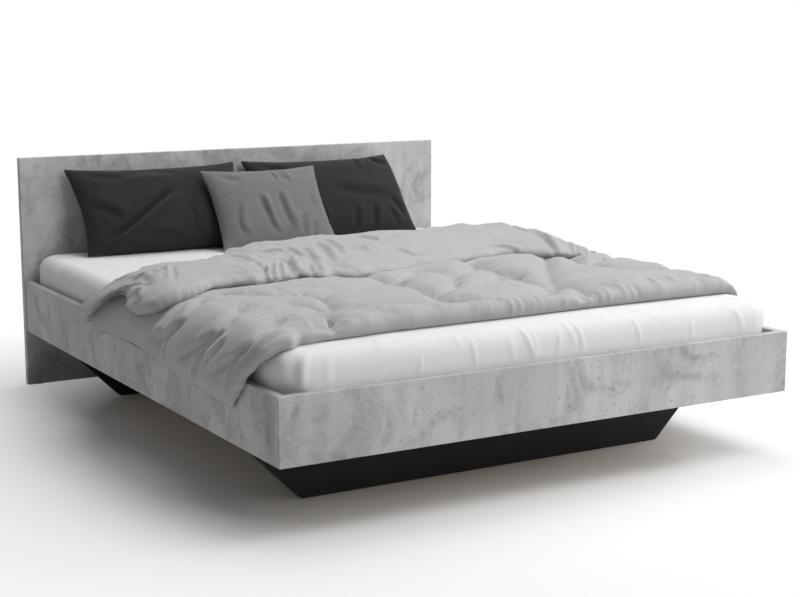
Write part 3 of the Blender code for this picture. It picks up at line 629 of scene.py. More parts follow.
def addSheet(material):
    rows, along = sheetProfile()
    rings = [sheetRing(max(row[0], 0.0)) for row in rows]
    count = len(rings[0][0])
    middleY = (sheetLow.y + sheetHigh.y) / 2
    halfX = sheetHigh.x - mattress["cornerRadius"] * (1 - math.pi / 4)
    halfY = (sheetHigh.y - sheetLow.y) / 2 - mattress["cornerRadius"] * (1 - math.pi / 4)
    edgePlace = []
    for side, mark in rings[0][2]:
        edgePlace.append((mark, halfX + halfY + mark, 9.0, -halfX - halfY + mark)[side])
    edgePlace = np.array(edgePlace)
    outer, inner, flat = [], [], []
    for (inset, height, outShare, upShare), distance, (places, outs, _) in zip(rows, along, rings):
        x, y = places[:, 0], places[:, 1] + middleY
        lift = np.full(count, sheet["looseness"])
        lift = lift + 0.0008 * softNoise(edgePlace, np.full(count, distance), 0.06, 41)
        for line, tall, width in sheetCreases:
            gone, share = nearLine(edgePlace, np.full(count, distance), line)
            fade = easeIn(share / 0.35) * easeIn((1 - share) / 0.12 + 0.25)
            lift = lift + tall * fade * bell(gone, width)
        tucked = easeIn((0.405 - height) / 0.03)
        lift = lift * (1 - tucked) + sheet["tuckedLift"] * tucked
        lift = np.where(y > 1.5, np.minimum(lift, sheet["tuckedLift"]), lift)
        if upShare > 0.5:
            bare = np.maximum(easeIn((-0.175 - y) / 0.02), between(y, 1.12, 1.42, 0.03, 0.03))
            for line, tall, width in sheetTopCreases:
                gone, share = nearLine(x, y, line)
                ridge = between(share, 0, 1, 0.35, 0.35) * bell(gone, width)
                lift = lift + tall * ridge * easeIn(inset / 0.08)
            lift = np.where(np.abs(y - 0.6) < 0.9, lift * bare, lift)
            lift = lift * (1 - easeIn((inset - 0.045) / 0.05) * 0.35)
        normal = np.concatenate([outs * outShare, np.full((count, 1), upShare)], axis=1)
        shift = lift[:, None] * normal
        base = np.stack([x, y, np.full(count, height)], axis=-1)
        outer.append(base + shift)
        inner.append(base + shift - normal * sheet["thickness"])
        flat.append(np.stack([edgePlace, np.full(count, distance)], axis=-1))
    points = np.concatenate(outer + inner)
    total = len(rows) * count
    numbers = np.arange(total).reshape(-1, count)
    closed = np.concatenate([numbers, numbers[:, :1]], axis=1)
    first = closed[0]
    walls = np.stack([quads(closed, (0, 3, 2, 1)), quads(closed + total)], axis=2).reshape(-1, 4)
    hem = np.stack([first[1:], first[:-1], first[:-1] + total, first[1:] + total], -1)
    lids = [numbers[-1].tolist(), (numbers[-1][::-1] + total).tolist()]
    faces = [*walls.tolist(), *hem.tolist(), *lids]
    places = points[:, :2].copy()
    steep = np.concatenate(flat + flat)
    wrapped = steep[:, 1] < 0
    places[wrapped] = steep[wrapped] + (0, 3)
    piece = clothPiece("fitted_sheet_cotton", points, faces, places, material, smooth=0)
    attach(piece, "mattress")
    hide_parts("fitted_sheet")


whiteCotton = makeCotton("whiteCotton", (0.77, 0.77, 0.775), 0.02, 0.8, 0.08)
addSheet(whiteCotton)
print("fitted sheet made")


# Duvet

duvet = {
    "cell": 0.0088,
    "mainRows": 76,
    "hiddenRows": 9,
    "foldRows": 8,
    "underRows": 14,
    "bottomRows": 14,
    "noseRows": 13,
    "topRows": 58,
    "loft": 0.050,
    "hemLoft": 0.005,
    "hangThinning": 0.012,
    "frontRows": 7,
    "footRound": 0.045,
    "frontBulge": 0.018,
    "sideRound": 0.060,
    "underFlap": 0.028,
    "flapRise": 0.086,
    "flapEdgeRise": 0.074,
    "flapLip": 0.028,
    "flapTuck": 0.022,
    "flapDrop": 0.014,
    "flapLeast": 0.021,
    "flapSideRound": 0.026,
    "flapHemLeast": 0.55,
    "flapRightInset": 0.026,
    "mouthLayer": 0.008,
    "creaseDepth": 0.022,
    "foldRound": 0.060,
    "bendRadius": 0.080,
    "railClearance": 0.005,
    "sideDrop": 0.090,
    "footMargin": 0.165,
    "headMargin": 0.550,
    "flapLength": 0.610,
    "rightWrap": 0.048,
    "rightBendRadius": 0.064,
    "gatherStart": -0.600,
    "rightGather": 0.450,
    "channelDepth": 0.020,
    "channelWidth": 0.032,
    "seamDepth": 0.009,
    "seamWidth": 0.009,
    "tuftDepth": 0.012,
    "tuftRadius": 0.036,
    "mouthGap": 0.028,
    "shutGap": 0.006,
    "mouthStart": -0.660,
    "puckerHeight": 0.0060,
    "rayHeight": 0.0080,
    "ribHeight": 0.0050,
    "bandMiddle": -0.120,
    "settleReach": 0.17,
    "settleEase": 0.15,
    "settleDepth": 0.018,
    "closeReach": 0.045,
    "closeMore": 0.19,
    "middleCrumple": 0.0034,
    "wideCrumple": 0.0016,
    "leftCrumple": 0.0016,
    "pleatHeight": 0.0026,
    "topHold": 0.12,
    "hangHold": 0.42,
    "seamHold": 0.55,
    "hemHold": 0.9,
    "flapHold": 0.10,
    "bending": 0.15,
    "pressure": 2.4,
    "spare": (0.05, 0.07),
}
# Thousandths, in turn the place and the value there: first along the left hem, then across the bed
hemDrops = inPairs((
    0, 1000, 220, 880, 470, 710, 640, 520, 820, 580, 930, 720, 1000, 460))
footHems = inPairs((
    0, 1450, 14, 1280, 25, 1120, 48, 880, 76, 600, 96, 450, 122, 420, 154, 680, 200, 780, 330, 920, 510,
    950, 710, 1030, 1000, 1000))
foldLines = inPairs((
    0, 1190, 22, 1225, 30, 1255, 45, 1375, 61, 1450, 76, 1490, 87, 1550, 102, 1570, 131, 1490, 150, 1470,
    185, 1430, 232, 1440, 260, 1420, 300, 1350, 367, 1120, 430, 1010, 600, 1000, 680, 1000, 770, 1100, 860,
    1210, 950, 1380, 1000, 1600))
flapLengths = inPairs((
    0, 720, 8, 800, 22, 875, 30, 876, 45, 784, 61, 718, 76, 670, 87, 611, 102, 582, 131, 630, 155, 613, 190,
    611, 232, 590, 270, 655, 308, 690, 360, 820, 400, 970, 445, 1070, 520, 1020, 600, 960, 680, 920, 760,
    780, 820, 700, 880, 760, 950, 720, 1000, 580))
flapRises = inPairs((
    0, 360, 40, 460, 70, 580, 90, 720, 120, 810, 160, 830, 320, 850, 500, 930, 770, 980, 860, 1030, 930,
    1120, 970, 1040, 1000, 780))
flapEdgeRises = inPairs((
    0, 800, 30, 900, 80, 940, 250, 960, 600, 1000, 930, 1000, 1000, 660))
# Left hem of the turned-down part, from its tip on the fold to its front corner
flapHems = inPairs((
    0, -915, 150, -902, 310, -878, 400, -862, 480, -843, 560, -824, 640, -812, 740, -812, 820, -820, 900,
    -838, 1000, -842))

# Sewn tufts (across, along the bed), and the seams that join them
tufts = inPairs((
    -448, 249, -491, 29, -114, 351, -119, 111, -136, -33, 289, 510, 249, 260, 249, 19, 596, 342, 615, 592,
    126, -65))
channels = [row[0] for row in inMetres((
    ((-560, 125, -520, 95, -491, 29),),
    ((-491, 29, -463, 107, -431, 207, -448, 249),),
    ((-448, 249, -300, 275, -200, 320, -114, 351),),
    ((-448, 249, -560, 300, -640, 370),),
    ((-114, 351, -132, 240, -119, 111),),
    ((-190, 470, -130, 430, -114, 351),),
    ((-114, 351, 36, 455, 125, 390, 230, 440, 289, 510),),
    ((125, 390, 38, 235, -22, 134),),
    ((-119, 111, -20, 134, 105, 186, 249, 260),),
    ((289, 510, 266, 370, 249, 260),),
    ((249, 260, 232, 137, 249, 19),),
    ((249, 19, 351, 192, 500, 420, 615, 592),),
    ((596, 342, 630, 443, 615, 592),),
    ((596, 342, 700, 392, 790, 402),),
    ((596, 342, 600, 229, 669, 153, 770, 90),),
    ((249, 19, 285, -20, 271, -90, 225, -150),),
    ((-136, -33, -60, -80, 50, -70, 126, -65, 249, 19),),
    ((-119, 111, -145, 40, -136, -33),),
    ((-491, 29, -330, 10, -220, -30, -136, -33),),
    ((-560, -60, -578, -120, -600, -200),),
))]
# Broad folds that run over the left edge towards the head: line, depth, width and lip
sideFolds = inMetres((
    ((-600, 392, -680, 372, -778, 280, -812, 246, -840, 275, -865, 354, -905, 470), 7, 34, 4),
    ((-600, 170, -690, 145, -765, 72, -811, 34, -844, 73, -868, 140, -905, 240), 7, 34, 4),
    ((-600, -30, -689, -68, -766, -137, -802, -168, -837, -146, -866, -77, -900, 0), 7, 34, 4),
))
# The sharp creases in them, their pinched starts and the soft falls below
sideCreases = inMetres((
    ((-655, 385, -717, 366, -778, 279, -811, 245, -839, 275, -864, 354, -900, 470), 12, 8.5, 6),
    ((-852, 360, -868, 405, -879, 450, -910, 515), 9, 8, 7),
    ((-660, 150, -705, 137, -762, 73, -811, 33, -844, 73, -866, 139, -905, 235), 12, 8.5, 6),
    ((-775, 20, -805, -4, -830, 22, -855, 62, -872, 100), 8, 8, 5),
    ((-660, -60, -689, -67, -766, -137, -801, -168, -837, -146, -866, -77, -900, 5), 12, 8.5, 6),
    ((-815, -60, -833, -44, -857, -7, -878, 45), 8, 7, 5),
    ((-720, -210, -770, -225, -820, -215, -850, -180, -890, -130), 7, 10, 5),
    ((-560, -50, -575, -110, -610, -195), 11, 8, 7),
    ((-620, -60, -633, -125, -662, -205), 8, 8, 6),
    ((-765, 330, -745, 350, -712, 380, -676, 348), 11, 8, 6),
    ((-682, 392, -664, 398, -646, 396, -640, 362), 9, 7, 5),
    ((-740, 135, -722, 150, -692, 166, -668, 112), 11, 8, 6),
    ((-725, -65, -706, -52, -680, -46, -652, -90), 10, 8, 6),
    ((-860, 300, -890, 325, -925, 338), 5, 10, 3),
    ((-850, 45, -895, 84, -945, 102), 6, 10, 4),
    ((-840, -150, -875, -134, -930, -125), 6, 10, 4),
    ((-780, 470, -844, 460, -875, 505, -920, 560), 6, 14, 4),
))
# Broad folds of the turned-down part
flapFolds = inMetres((
    ((-500, 860, -400, 780, -300, 740), 6, 18, 5),
    ((120, 860, 234, 894, 337, 937, 464, 942, 580, 930), 14, 18, 10),
    ((380, 1040, 500, 990, 620, 920, 700, 830), 14, 18, 10),
    ((-107, 769, -22, 691, 161, 728, 432, 752, 605, 746), -9, 30, 0),
))
# Its sharp creases: a valley with a ridge on the line's left side
flapCreases = inMetres((
    ((-744, 535, -730, 570, -710, 620, -664, 745), 11, 8.5, 12),
    ((-760, 560, -742, 600, -718, 660, -712, 740), 5, 10, 5),
    ((-778, 580, -762, 630, -750, 690, -752, 730), 5, 10, 5),
    ((-800, 725, -784, 700, -775, 650, -783, 590), 7, 8, 7),
    ((-786, 570, -792, 620, -800, 690), 7, 6, 8),
    ((-780, 650, -783, 590, -790, 540), 5, 9, 4),
    ((-806, 600, -815, 565, -826, 525), 8, 6, 7),
    ((-410, 625, -464, 505, -500, 400), 9, 6.5, 6),
    ((-370, 650, -432, 525, -480, 395), 9, 6.5, 6),
    ((-350, 650, -405, 520, -455, 395), 8, 6.5, 6),
    ((-290, 720, -345, 560, -372, 400), 14, 11, 7),
    ((-250, 640, -300, 520, -330, 390), 8, 8, 6),
    ((-440, 640, -431, 560, -395, 575), 6, 9, 5),
    ((-345, 680, -313, 636, -262, 675), 7, 8, 6),
    ((-240, 840, -254, 710, -225, 665), 7, 9, 6),
    ((-335, 800, -299, 790, -265, 760), 7, 8, 6),
    ((-767, 405, -688, 465, -581, 542, -498, 548, -430, 552), 4, 12, 4),
    ((60, 925, 92, 880, 98, 815, 150, 835), 7, 10, 6),
    ((-106, 895, -143, 746, -205, 565), 8, 11, 6),
    ((-187, 827, -237, 639, -310, 450), 8, 11, 6),
    ((-43, 953, -72, 822, -143, 614), 7, 10, 6),
    ((78, 690, 96, 590, 200, 585), 5, 10, 4),
    ((341, 580, 440, 640, 491, 590, 440, 520), 6, 9, 5),
    ((-470, 800, -440, 700, -450, 620), 5, 10, 5),
    ((645, 880, 649, 705, 604, 500), 8, 9, 5),
    ((680, 810, 640, 620, 557, 426), 10, 9, 6),
    ((770, 850, 752, 674, 613, 429), 10, 7, 5),
    ((772, 760, 736, 596, 618, 409), 10, 6, 5),
    ((774, 650, 716, 516, 633, 389), 9, 6, 5),
    ((775, 580, 727, 483, 656, 373), 8, 6, 5),
))


bendStart = -(halfBed + duvet["railClearance"] - duvet["bendRadius"])
bendEnd = bendStart - duvet["bendRadius"] * math.pi / 2
rightBendStart = -coreLow.x - mattress["edgeRadius"]


def duvetGround(s):
    # Where the duvet lies at distance s across the bed, and the outward direction there
    radius, rightRadius = duvet["bendRadius"], duvet["rightBendRadius"]
    bent = np.clip((bendStart - s) / radius, 0, math.pi / 2)
    rightBent = np.clip((s - rightBendStart) / rightRadius, 0, math.pi / 2)
    flat = np.clip(s, bendStart, rightBendStart)
    hang = np.clip(bendEnd - s, 0, None)
    x = flat - radius * np.sin(bent) + rightRadius * np.sin(rightBent)
    z = bedTop - radius * (1 - np.cos(bent)) - rightRadius * (1 - np.cos(rightBent)) - hang
    return x, z, np.sin(rightBent) - np.sin(bent), np.where(s < 0, np.cos(bent), np.cos(rightBent))


def duvetPoints(s, y, height):
    x, z, outX, outZ = duvetGround(s)
    return np.stack([x + outX * height, y, z + outZ * height], axis=-1)


def mainHeight(s, y):
    # Broad loft of the main layer: channels between the tufts, folds over the left edge
    free = np.ones(s.shape)
    for line in channels:
        gone, _ = nearLine(s, y, line)
        free *= 1 - 0.9 * bell(gone, duvet["channelWidth"])
    pinch = np.zeros(s.shape)
    for across, along in tufts:
        pinch = np.maximum(pinch, np.exp(-((s - across) ** 2 + (y - along) ** 2) / duvet["tuftRadius"] ** 2))
    height = duvet["loft"] - duvet["channelDepth"] * (1 - free) - duvet["tuftDepth"] * pinch
    for fold in sideFolds:
        height += foldHeight(s, y, fold)
    height += 0.004 * softNoise(s, y, 0.16, 5)
    height -= duvet["hangThinning"] * easeIn((bendStart - s) / 0.10)
    return np.maximum(height, 0.010)


def wrinkle(along, away, size, reach, seed):
    # Short ridges that stand across a seam and die out away from it
    return softNoise(along, away * 0.25 + 3.1 * seed, size, seed) * bell(away, reach)


def mainRelief(s, y):
    # Fine relief of the main layer: sharp creases, stitched channels and their puckers
    height = np.zeros(s.shape)
    for crease in sideCreases:
        height += foldHeight(s, y, crease)
    free = np.ones(s.shape)
    for number, line in enumerate(channels):
        gone, share = nearLine(s, y, line)
        length = math.dist(line[0], line[-1])
        inside = between(share, 0, 1, 0.08, 0.08)
        near = bell(np.minimum(share, 1 - share) * length, 0.06)
        strength = (0.35 + 0.9 * near) * (1 + 0.6 * softNoise(share * length, gone * 0, 0.09, 60 + number))
        pucker = wrinkle(share * length, gone, 0.015, 0.024, 80 + number)
        height += duvet["puckerHeight"] * strength * inside * pucker
        free *= 1 - 0.9 * inside * np.exp(-np.abs(gone) / duvet["seamWidth"])
    height -= duvet["seamDepth"] * (1 - free)
    for number, (across, along) in enumerate(tufts):
        away = np.hypot(s - across, y - along)
        angle = np.arctan2(y - along, s - across)
        rays = softNoise(np.cos(angle) * 0.1, np.sin(angle) * 0.1 + number, 0.045, 120 + number)
        height += duvet["rayHeight"] * rays * easeIn(away / 0.018) * bell(away, 0.055)
    up = y - duvet["bandMiddle"] - 0.02 * s
    ribs = softNoise(s, up * 0.3 + 4, 0.0145, 141) * bell(up, 0.055)
    height += duvet["ribHeight"] * between(s, -0.20, 0.80, 0.15, 0.10) * ribs
    ribs = softNoise(s, up * 0.2 + 7, 0.027, 143) * bell(up, 0.050)
    height += duvet["ribHeight"] * between(s, -0.66, -0.02, 0.12, 0.15) * ribs
    height += 0.0016 * softNoise(s, y, 0.034, 151) + 0.0007 * softNoise(s, y, 0.014, 152)
    return height


def crumple(a, b, size, seed):
    # Sharp little ridges between soft hollows, as in cloth that has been slept on
    first = 1 - np.abs(softNoise(a, b, size, seed)) * 2
    second = 1 - np.abs(softNoise(a * 0.8 + b * 0.6, b * 0.8 - a * 0.6, size * 0.55, seed + 1)) * 2
    return 0.65 * first + 0.35 * second


def flapRelief(s, y):
    height = np.zeros(s.shape)
    for fold in flapFolds:
        height += foldHeight(s, y, fold)
    for crease in flapCreases:
        height += creaseHeight(s, y, crease)
    middle = between(s, -0.62, 0.10, 0.10, 0.20)
    height += duvet["middleCrumple"] * middle * crumple(s, y * 0.42, 0.048, 161)
    height += duvet["wideCrumple"] * crumple(s * 0.6 + y * 0.3, y - s * 0.2, 0.110, 165)
    left = easeIn((-0.70 - s) / 0.08)
    height += duvet["leftCrumple"] * left * crumple(s, y, 0.045, 171)
    gathered = easeIn((s - 0.45) / 0.25)
    pleats = softNoise(s * 0.9 + y * 0.85, s * 0.15, 0.020, 175)
    height += duvet["pleatHeight"] * gathered * pleats
    height += 0.0007 * softNoise(s, y, 0.014, 177)
    return height


def buildDuvet():
    # Two faces of rows from the foot hem on: over the main layer, into the fold and along the
    # turned-down part's underside; and along the bottom, round the fold and over its top
    low, high = bendEnd - duvet["sideDrop"], rightBendStart + duvet["rightWrap"]
    columns = round((high - low) / duvet["cell"])
    share = np.linspace(0, 1, columns + 1)
    straight = low + (high - low) * share
    foot = wellFront + duvet["footMargin"] * tableAt(footHems, share)
    fold = wellBack - duvet["headMargin"] * tableAt(foldLines, share)
    edge = fold - duvet["flapLength"] * tableAt(flapLengths, share)
    rise = tableAt(flapRises, share)
    crest = fold - duvet["foldRound"]
    crease = edge + duvet["creaseDepth"]
    mouth = easeIn((duvet["mouthStart"] - straight) / 0.20)
    gap = duvet["shutGap"] + (duvet["mouthGap"] - duvet["shutGap"]) * mouth
    underLayer = duvet["underFlap"] + (duvet["mouthLayer"] - duvet["underFlap"]) * mouth
    still = np.ones(share.shape)
    inset = duvet["flapRightInset"]

    def across(hem, inset=0.0):
        # The columns left of the gather run evenly to that row's own hem, and those at the
        # right end draw in by the inset
        start = duvet["gatherStart"]
        part = np.clip((start - straight) / (start - low), 0, 1)
        right = np.clip((straight - duvet["rightGather"]) / (high - duvet["rightGather"]), 0, 1)
        return np.where(straight < start, start + (hem - start) * part, straight - inset * right)

    def mainHem(y):
        place = (y - foot[0]) / (fold[0] - foot[0])
        return bendEnd - duvet["sideDrop"] * float(tableAt(hemDrops, np.array(place)))

    def flapHem(part):
        return float(tableAt(flapHems, np.array(part)))

    def openGap(part):
        # The open end is narrow at the fold, wide in its middle and shut at the front
        wide = 0.72 + 0.28 * float(easeIn(part / 0.30))
        return gap * wide * (1 - float(easeIn((part - 0.50) / 0.35)))

    def thin(s, hem, reach=duvet["sideRound"], least=0.10):
        distance = np.minimum(s - hem, s[-1] - s)
        return least + (1 - least) * np.sin(np.clip(distance / reach, 0, 1) * math.pi / 2)

    def flapThin(s, hem):
        return thin(s, hem, duvet["flapSideRound"], duvet["flapHemLeast"])

    def parts(name):
        # The share of the way for each row after the first
        return [row / duvet[name] for row in range(1, duvet[name] + 1)]

    foldHem = mainHem(fold[0])
    inner, outer = [], []          # rows of (s, y, height, hold, path)
    rows = duvet["mainRows"]
    for row in range(rows + 1):
        part = row / rows
        # The first rows climb the full, slightly overhanging front
        turn = min(1.0, row / duvet["frontRows"]) * math.pi / 2
        front = foot + duvet["footRound"] * (1 - math.cos(turn)) - duvet["frontBulge"] * math.sin(2 * turn)
        beyond = max(0.0, (row - duvet["frontRows"]) / (rows - duvet["frontRows"]))
        y = front + (crease - front) * beyond
        hem = mainHem(y[0])
        s = across(hem)
        height = duvet["hemLoft"] + (mainHeight(s, y) - duvet["hemLoft"]) * math.sin(turn)
        settling = easeIn((y - (edge - duvet["settleReach"])) / duvet["settleEase"])
        settling = settling * easeIn((-0.15 - s) / 0.30)
        height = np.maximum(height - duvet["settleDepth"] * settling, np.minimum(height, 0.022))
        reach = duvet["closeReach"] + duvet["closeMore"] * easeIn((-0.60 - s) / 0.16)
        closing = easeIn((y - (edge - reach)) / reach)
        height = height * (1 - closing) + np.minimum(height, underLayer + 0.004) * closing
        hold = duvet["topHold"] + duvet["hangHold"] * easeIn((bendStart + 0.08 - s) / 0.16)
        hold = np.where(thin(s, hem) < 0.4, 1.0, hold)
        for line in channels:
            gone, _ = nearLine(s, y, line)
            hold = np.maximum(hold, duvet["seamHold"] * (np.abs(gone) < 0.008))
        for place, along in tufts:
            hold = np.maximum(hold, ((s - place) ** 2 + (y - along) ** 2 < 0.011 ** 2) * 1.0)
        if row == 0:
            height = np.full(s.shape, duvet["hemLoft"] / 2)
        if row in (0, rows - 1, rows):
            hold = still
        inner.append((s, y, height * thin(s, hem), hold, 0.64 * part))
    atCrease = inner[-1][2] / thin(s, hem)
    for part in parts("hiddenRows"):
        y = crest * part + crease * (1 - part)
        hem = mainHem(y[0])
        s = across(hem)
        blended = atCrease * (1 - easeIn(part * 3)) + underLayer * easeIn(part * 3)
        inner.append((s, y, blended * thin(s, hem), still, 0.64 + 0.55 * part))
    for part in parts("foldRows"):
        angle = math.pi * part
        hem = foldHem + (flapHem(0.0) - foldHem) * part
        s = across(hem, inset * part)
        layer = underLayer * thin(s, hem)
        inner.append((s, crest + openGap(0.0) / 2 * math.sin(angle),
                      layer + openGap(0.0) / 2 * (1 - math.cos(angle)), still, 1.19 + 0.05 * part))

    def flapUnder(s, part):
        return underLayer * thin(s, foldHem) + openGap(part) + 0.002

    def flapTop(s, y, part, hem):
        bottom = flapUnder(s, part)
        edgeHeight = duvet["flapEdgeRise"] * tableAt(flapEdgeRises, share)
        crestHeight = duvet["flapRise"] * rise
        height = edgeHeight + (crestHeight - edgeHeight) * (1 - part) ** 1.5
        height = height - duvet["flapDrop"] * float(easeIn((part - 0.74) / 0.40))
        for fold in flapFolds:
            height = height + 0.5 * foldHeight(s, y, fold)
        height = height + 0.005 * softNoise(s, y, 0.13, 11)
        return bottom + np.maximum(height - bottom, duvet["flapLeast"]) * flapThin(s, hem)

    for part in parts("underRows"):
        hem = flapHem(part)
        s = across(hem, inset)
        y = crest + (edge + duvet["flapTuck"] - crest) * part
        inner.append((s, y, flapUnder(s, part), still, 1.24 + 0.55 * part))
    hem = flapHem(1.0)
    s = across(hem, inset)
    bottom = flapUnder(s, 1.0)
    top = flapTop(s, edge, 1.0, hem)
    middle = bottom + (top - bottom) * 0.50
    for turn in (0.25, 0.5, 0.75, 1.0):
        angle = turn * math.pi / 2
        y = edge + duvet["flapTuck"] - (duvet["flapTuck"] + duvet["flapLip"]) * math.sin(angle)
        inner.append((s, y, bottom + (middle - bottom) * (1 - math.cos(angle)), still, 1.79 + 0.02 * turn))
    seam = inner.pop()

    for part in parts("bottomRows"):
        y = foot + 0.006 + (crest - foot - 0.006) * part
        s = across(mainHem(y[0]))
        outer.append((s, y, np.full(s.shape, 0.0004), still, 1.19 * part))
    for part in parts("noseRows"):
        angle = math.pi * part
        hem = foldHem + (flapHem(0.0) - foldHem) * part
        s = across(hem, inset * part)
        tall = flapTop(s, crest, 0.0, hem)
        reach = np.maximum(duvet["foldRound"] * thin(s, hem) * (1 - 0.6 * mouth), openGap(0.0) / 2 + 0.014)
        outer.append((s, crest + reach * math.sin(angle), tall * (1 - math.cos(angle)) / 2,
                      still * 0.35, 1.19 + 0.12 * part))
    for part in parts("topRows"):
        hem = flapHem(part)
        s = across(hem, inset)
        y = crest + (edge - crest) * part
        hold = np.where(thin(s, hem, duvet["flapSideRound"]) < 0.6, duvet["hemHold"], duvet["flapHold"])
        outer.append((s, y, flapTop(s, y, part, hem), hold, 1.31 + 0.52 * part))
    for turn in (0.25, 0.5, 0.75):
        angle = turn * math.pi / 2
        y = edge - duvet["flapLip"] * math.sin(angle)
        outer.append((s, y, middle + (top - middle) * math.cos(angle), still * 0.45, 1.83 + 0.02 * turn))
    return inner, outer, seam


def duvetFaces(over, under, overPath, underPath):
    # over and under are grids of point numbers. Triangles close the side hems between them;
    # each step there goes along the grid that is behind
    faces = quads(over, (3, 2, 1, 0)).reshape(-1, 4).tolist() + quads(under).reshape(-1, 4).tolist()
    for column, flip in ((0, True), (over.shape[1] - 1, False)):
        i, j = 0, 0
        while i < len(over) - 1 or j < len(under) - 1:
            first = j == len(under) - 1 or (i < len(over) - 1 and overPath[i + 1] <= underPath[j + 1])
            a, b = over[i, column], under[j, column]
            i, j = (i + 1, j) if first else (i, j + 1)
            c = over[i, column] if first else under[j, column]
            corners = [int(a), int(b), int(c)]
            if len(set(corners)) == 3:
                faces.append(corners if flip else corners[::-1])
    return faces


def numberGrids(overRows, underRows, width):
    # The first and last rows are shared
    over = np.arange(overRows * width).reshape(overRows, width)
    middle = overRows * width + np.arange((underRows - 2) * width).reshape(-1, width)
    return over, np.concatenate([over[:1], middle, over[-1:]])


def finerGrid(grid):
    # Doubles a grid of places both ways with a smooth curve through the old ones
    for _ in range(2):
        before = np.concatenate([2 * grid[:1] - grid[1:2], grid[:-1]])[:-1]
        after = np.concatenate([grid[1:], 2 * grid[-1:] - grid[-2:-1]])[1:]
        between = (9 * (grid[:-1] + grid[1:]) - before - after) / 16
        finer = np.empty((2 * len(grid) - 1, *grid.shape[1:]))
        finer[::2], finer[1::2] = grid, between
        grid = np.swapaxes(finer, 0, 1)
    return grid


def gridNormals(grid, flip):
    along, across = np.gradient(grid, axis=0), np.gradient(grid, axis=1)
    normal = np.cross(along, across)
    normal /= np.maximum(np.linalg.norm(normal, axis=-1, keepdims=True), 1e-12)
    return -normal if flip else normal


def makeDuvet(material):
    inner, outer, seam = buildDuvet()
    overRows, underRows = [*inner, seam], [inner[0], *outer, seam]
    width = len(inner[0][0])
    over, under = numberGrids(len(overRows), len(underRows), width)
    points, holds = [], []
    for s, y, height, hold, _ in (*overRows, *outer):
        points.append(duvetPoints(s, np.broadcast_to(y, s.shape), height))
        holds.append(hold)
    points, holds = np.concatenate(points), np.concatenate(holds)
    overPath, underPath = [row[4] for row in overRows], [row[4] for row in underRows]
    faces = duvetFaces(over, under, overPath, underPath)
    middle = points.mean(axis=0)
    spareX, spareY = duvet["spare"]
    cut = middle + (points - middle) * (1 + spareX, 1 + spareY, 1 + spareX)
    print("duvet shaped,", len(points), "points")
    points = settleCloth(points, faces, cut, holds, duvet["bending"], duvet["pressure"])

    grids, places = [], []
    for index, rows in ((over, overRows), (under, underRows)):
        spot = np.stack([np.stack([row[0], np.broadcast_to(row[1], row[0].shape),
                                   np.full(row[0].shape, row[4])], -1) for row in rows])
        fine = finerGrid(np.concatenate([points[index], spot], axis=-1))
        grids.append(fine[..., :3])
        places.append(fine[..., 3:])
    # The fine relief keeps clear of the hems and of the hidden rows
    kinds = ((mainRelief, (0, 0.63, 0.02, 0.03), True), (flapRelief, (1.22, 1.89, 0.08, 0.06), False))
    for grid, spot, (makeRelief, reach, flip) in zip(grids, places, kinds):
        relief = between(spot[..., 2], *reach) * makeRelief(spot[..., 0], spot[..., 1])
        hem = np.minimum(np.arange(grid.shape[1]), np.arange(grid.shape[1])[::-1]) * duvet["cell"] / 2
        relief *= 0.25 + 0.75 * easeIn(hem / 0.04)
        grid += gridNormals(grid, flip) * relief[..., None]
    over, under = numberGrids(len(grids[0]), len(grids[1]), grids[0].shape[1])
    points = np.concatenate([grids[0].reshape(-1, 3), grids[1][1:-1].reshape(-1, 3)])
    flat = np.concatenate([places[0][..., (0, 2)].reshape(-1, 2),
                           places[1][1:-1, :, (0, 2)].reshape(-1, 2) + (4, 0)])
    faces = duvetFaces(over, under, places[0][:, 0, 2], places[1][:, 0, 2])
    piece = clothPiece("duvet_quilt", points, faces, flat, material, smooth=0)
    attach(piece, "duvet")
    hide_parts("duvet")


greyCotton = makeCotton("greyCotton", (0.415, 0.413, 0.410), 0.08, 0.86, 0.35)
makeDuvet(greyCotton)
print("duvet made")


# Pillows and cushion, modelled flat, filled by the cloth simulation and leaned back

pillow = {
    "width": 0.660,
    "height": 0.350,
    "thickness": 0.135,
    "lean": math.radians(28),
    "sink": 0.012,
    "slump": 0.026,
    "shift": -0.010,
    "gap": 0.020,
    "narrowing": 0.036,
    "cell": 0.0075,
}
cushion = {
    "width": 0.465,
    "height": 0.330,
    "thickness": 0.105,
    "lean": math.radians(29),
    "sink": 0.008,
    "slump": 0.022,
    "shift": 0.018,
    "standOff": 0.1163,
    "cell": 0.0062,
}
filling = {
    "spare": (0.045, 0.045),
    "crownPower": 0.62,
    "cornerPower": 2.4,
    "sideDraw": 0.055,
    "endDraw": 0.045,
    "sag": 0.16,
    "earLift": 0.03,
    "jitter": 0.0005,
    "bending": 0.12,
    "pressure": 1.6,
}
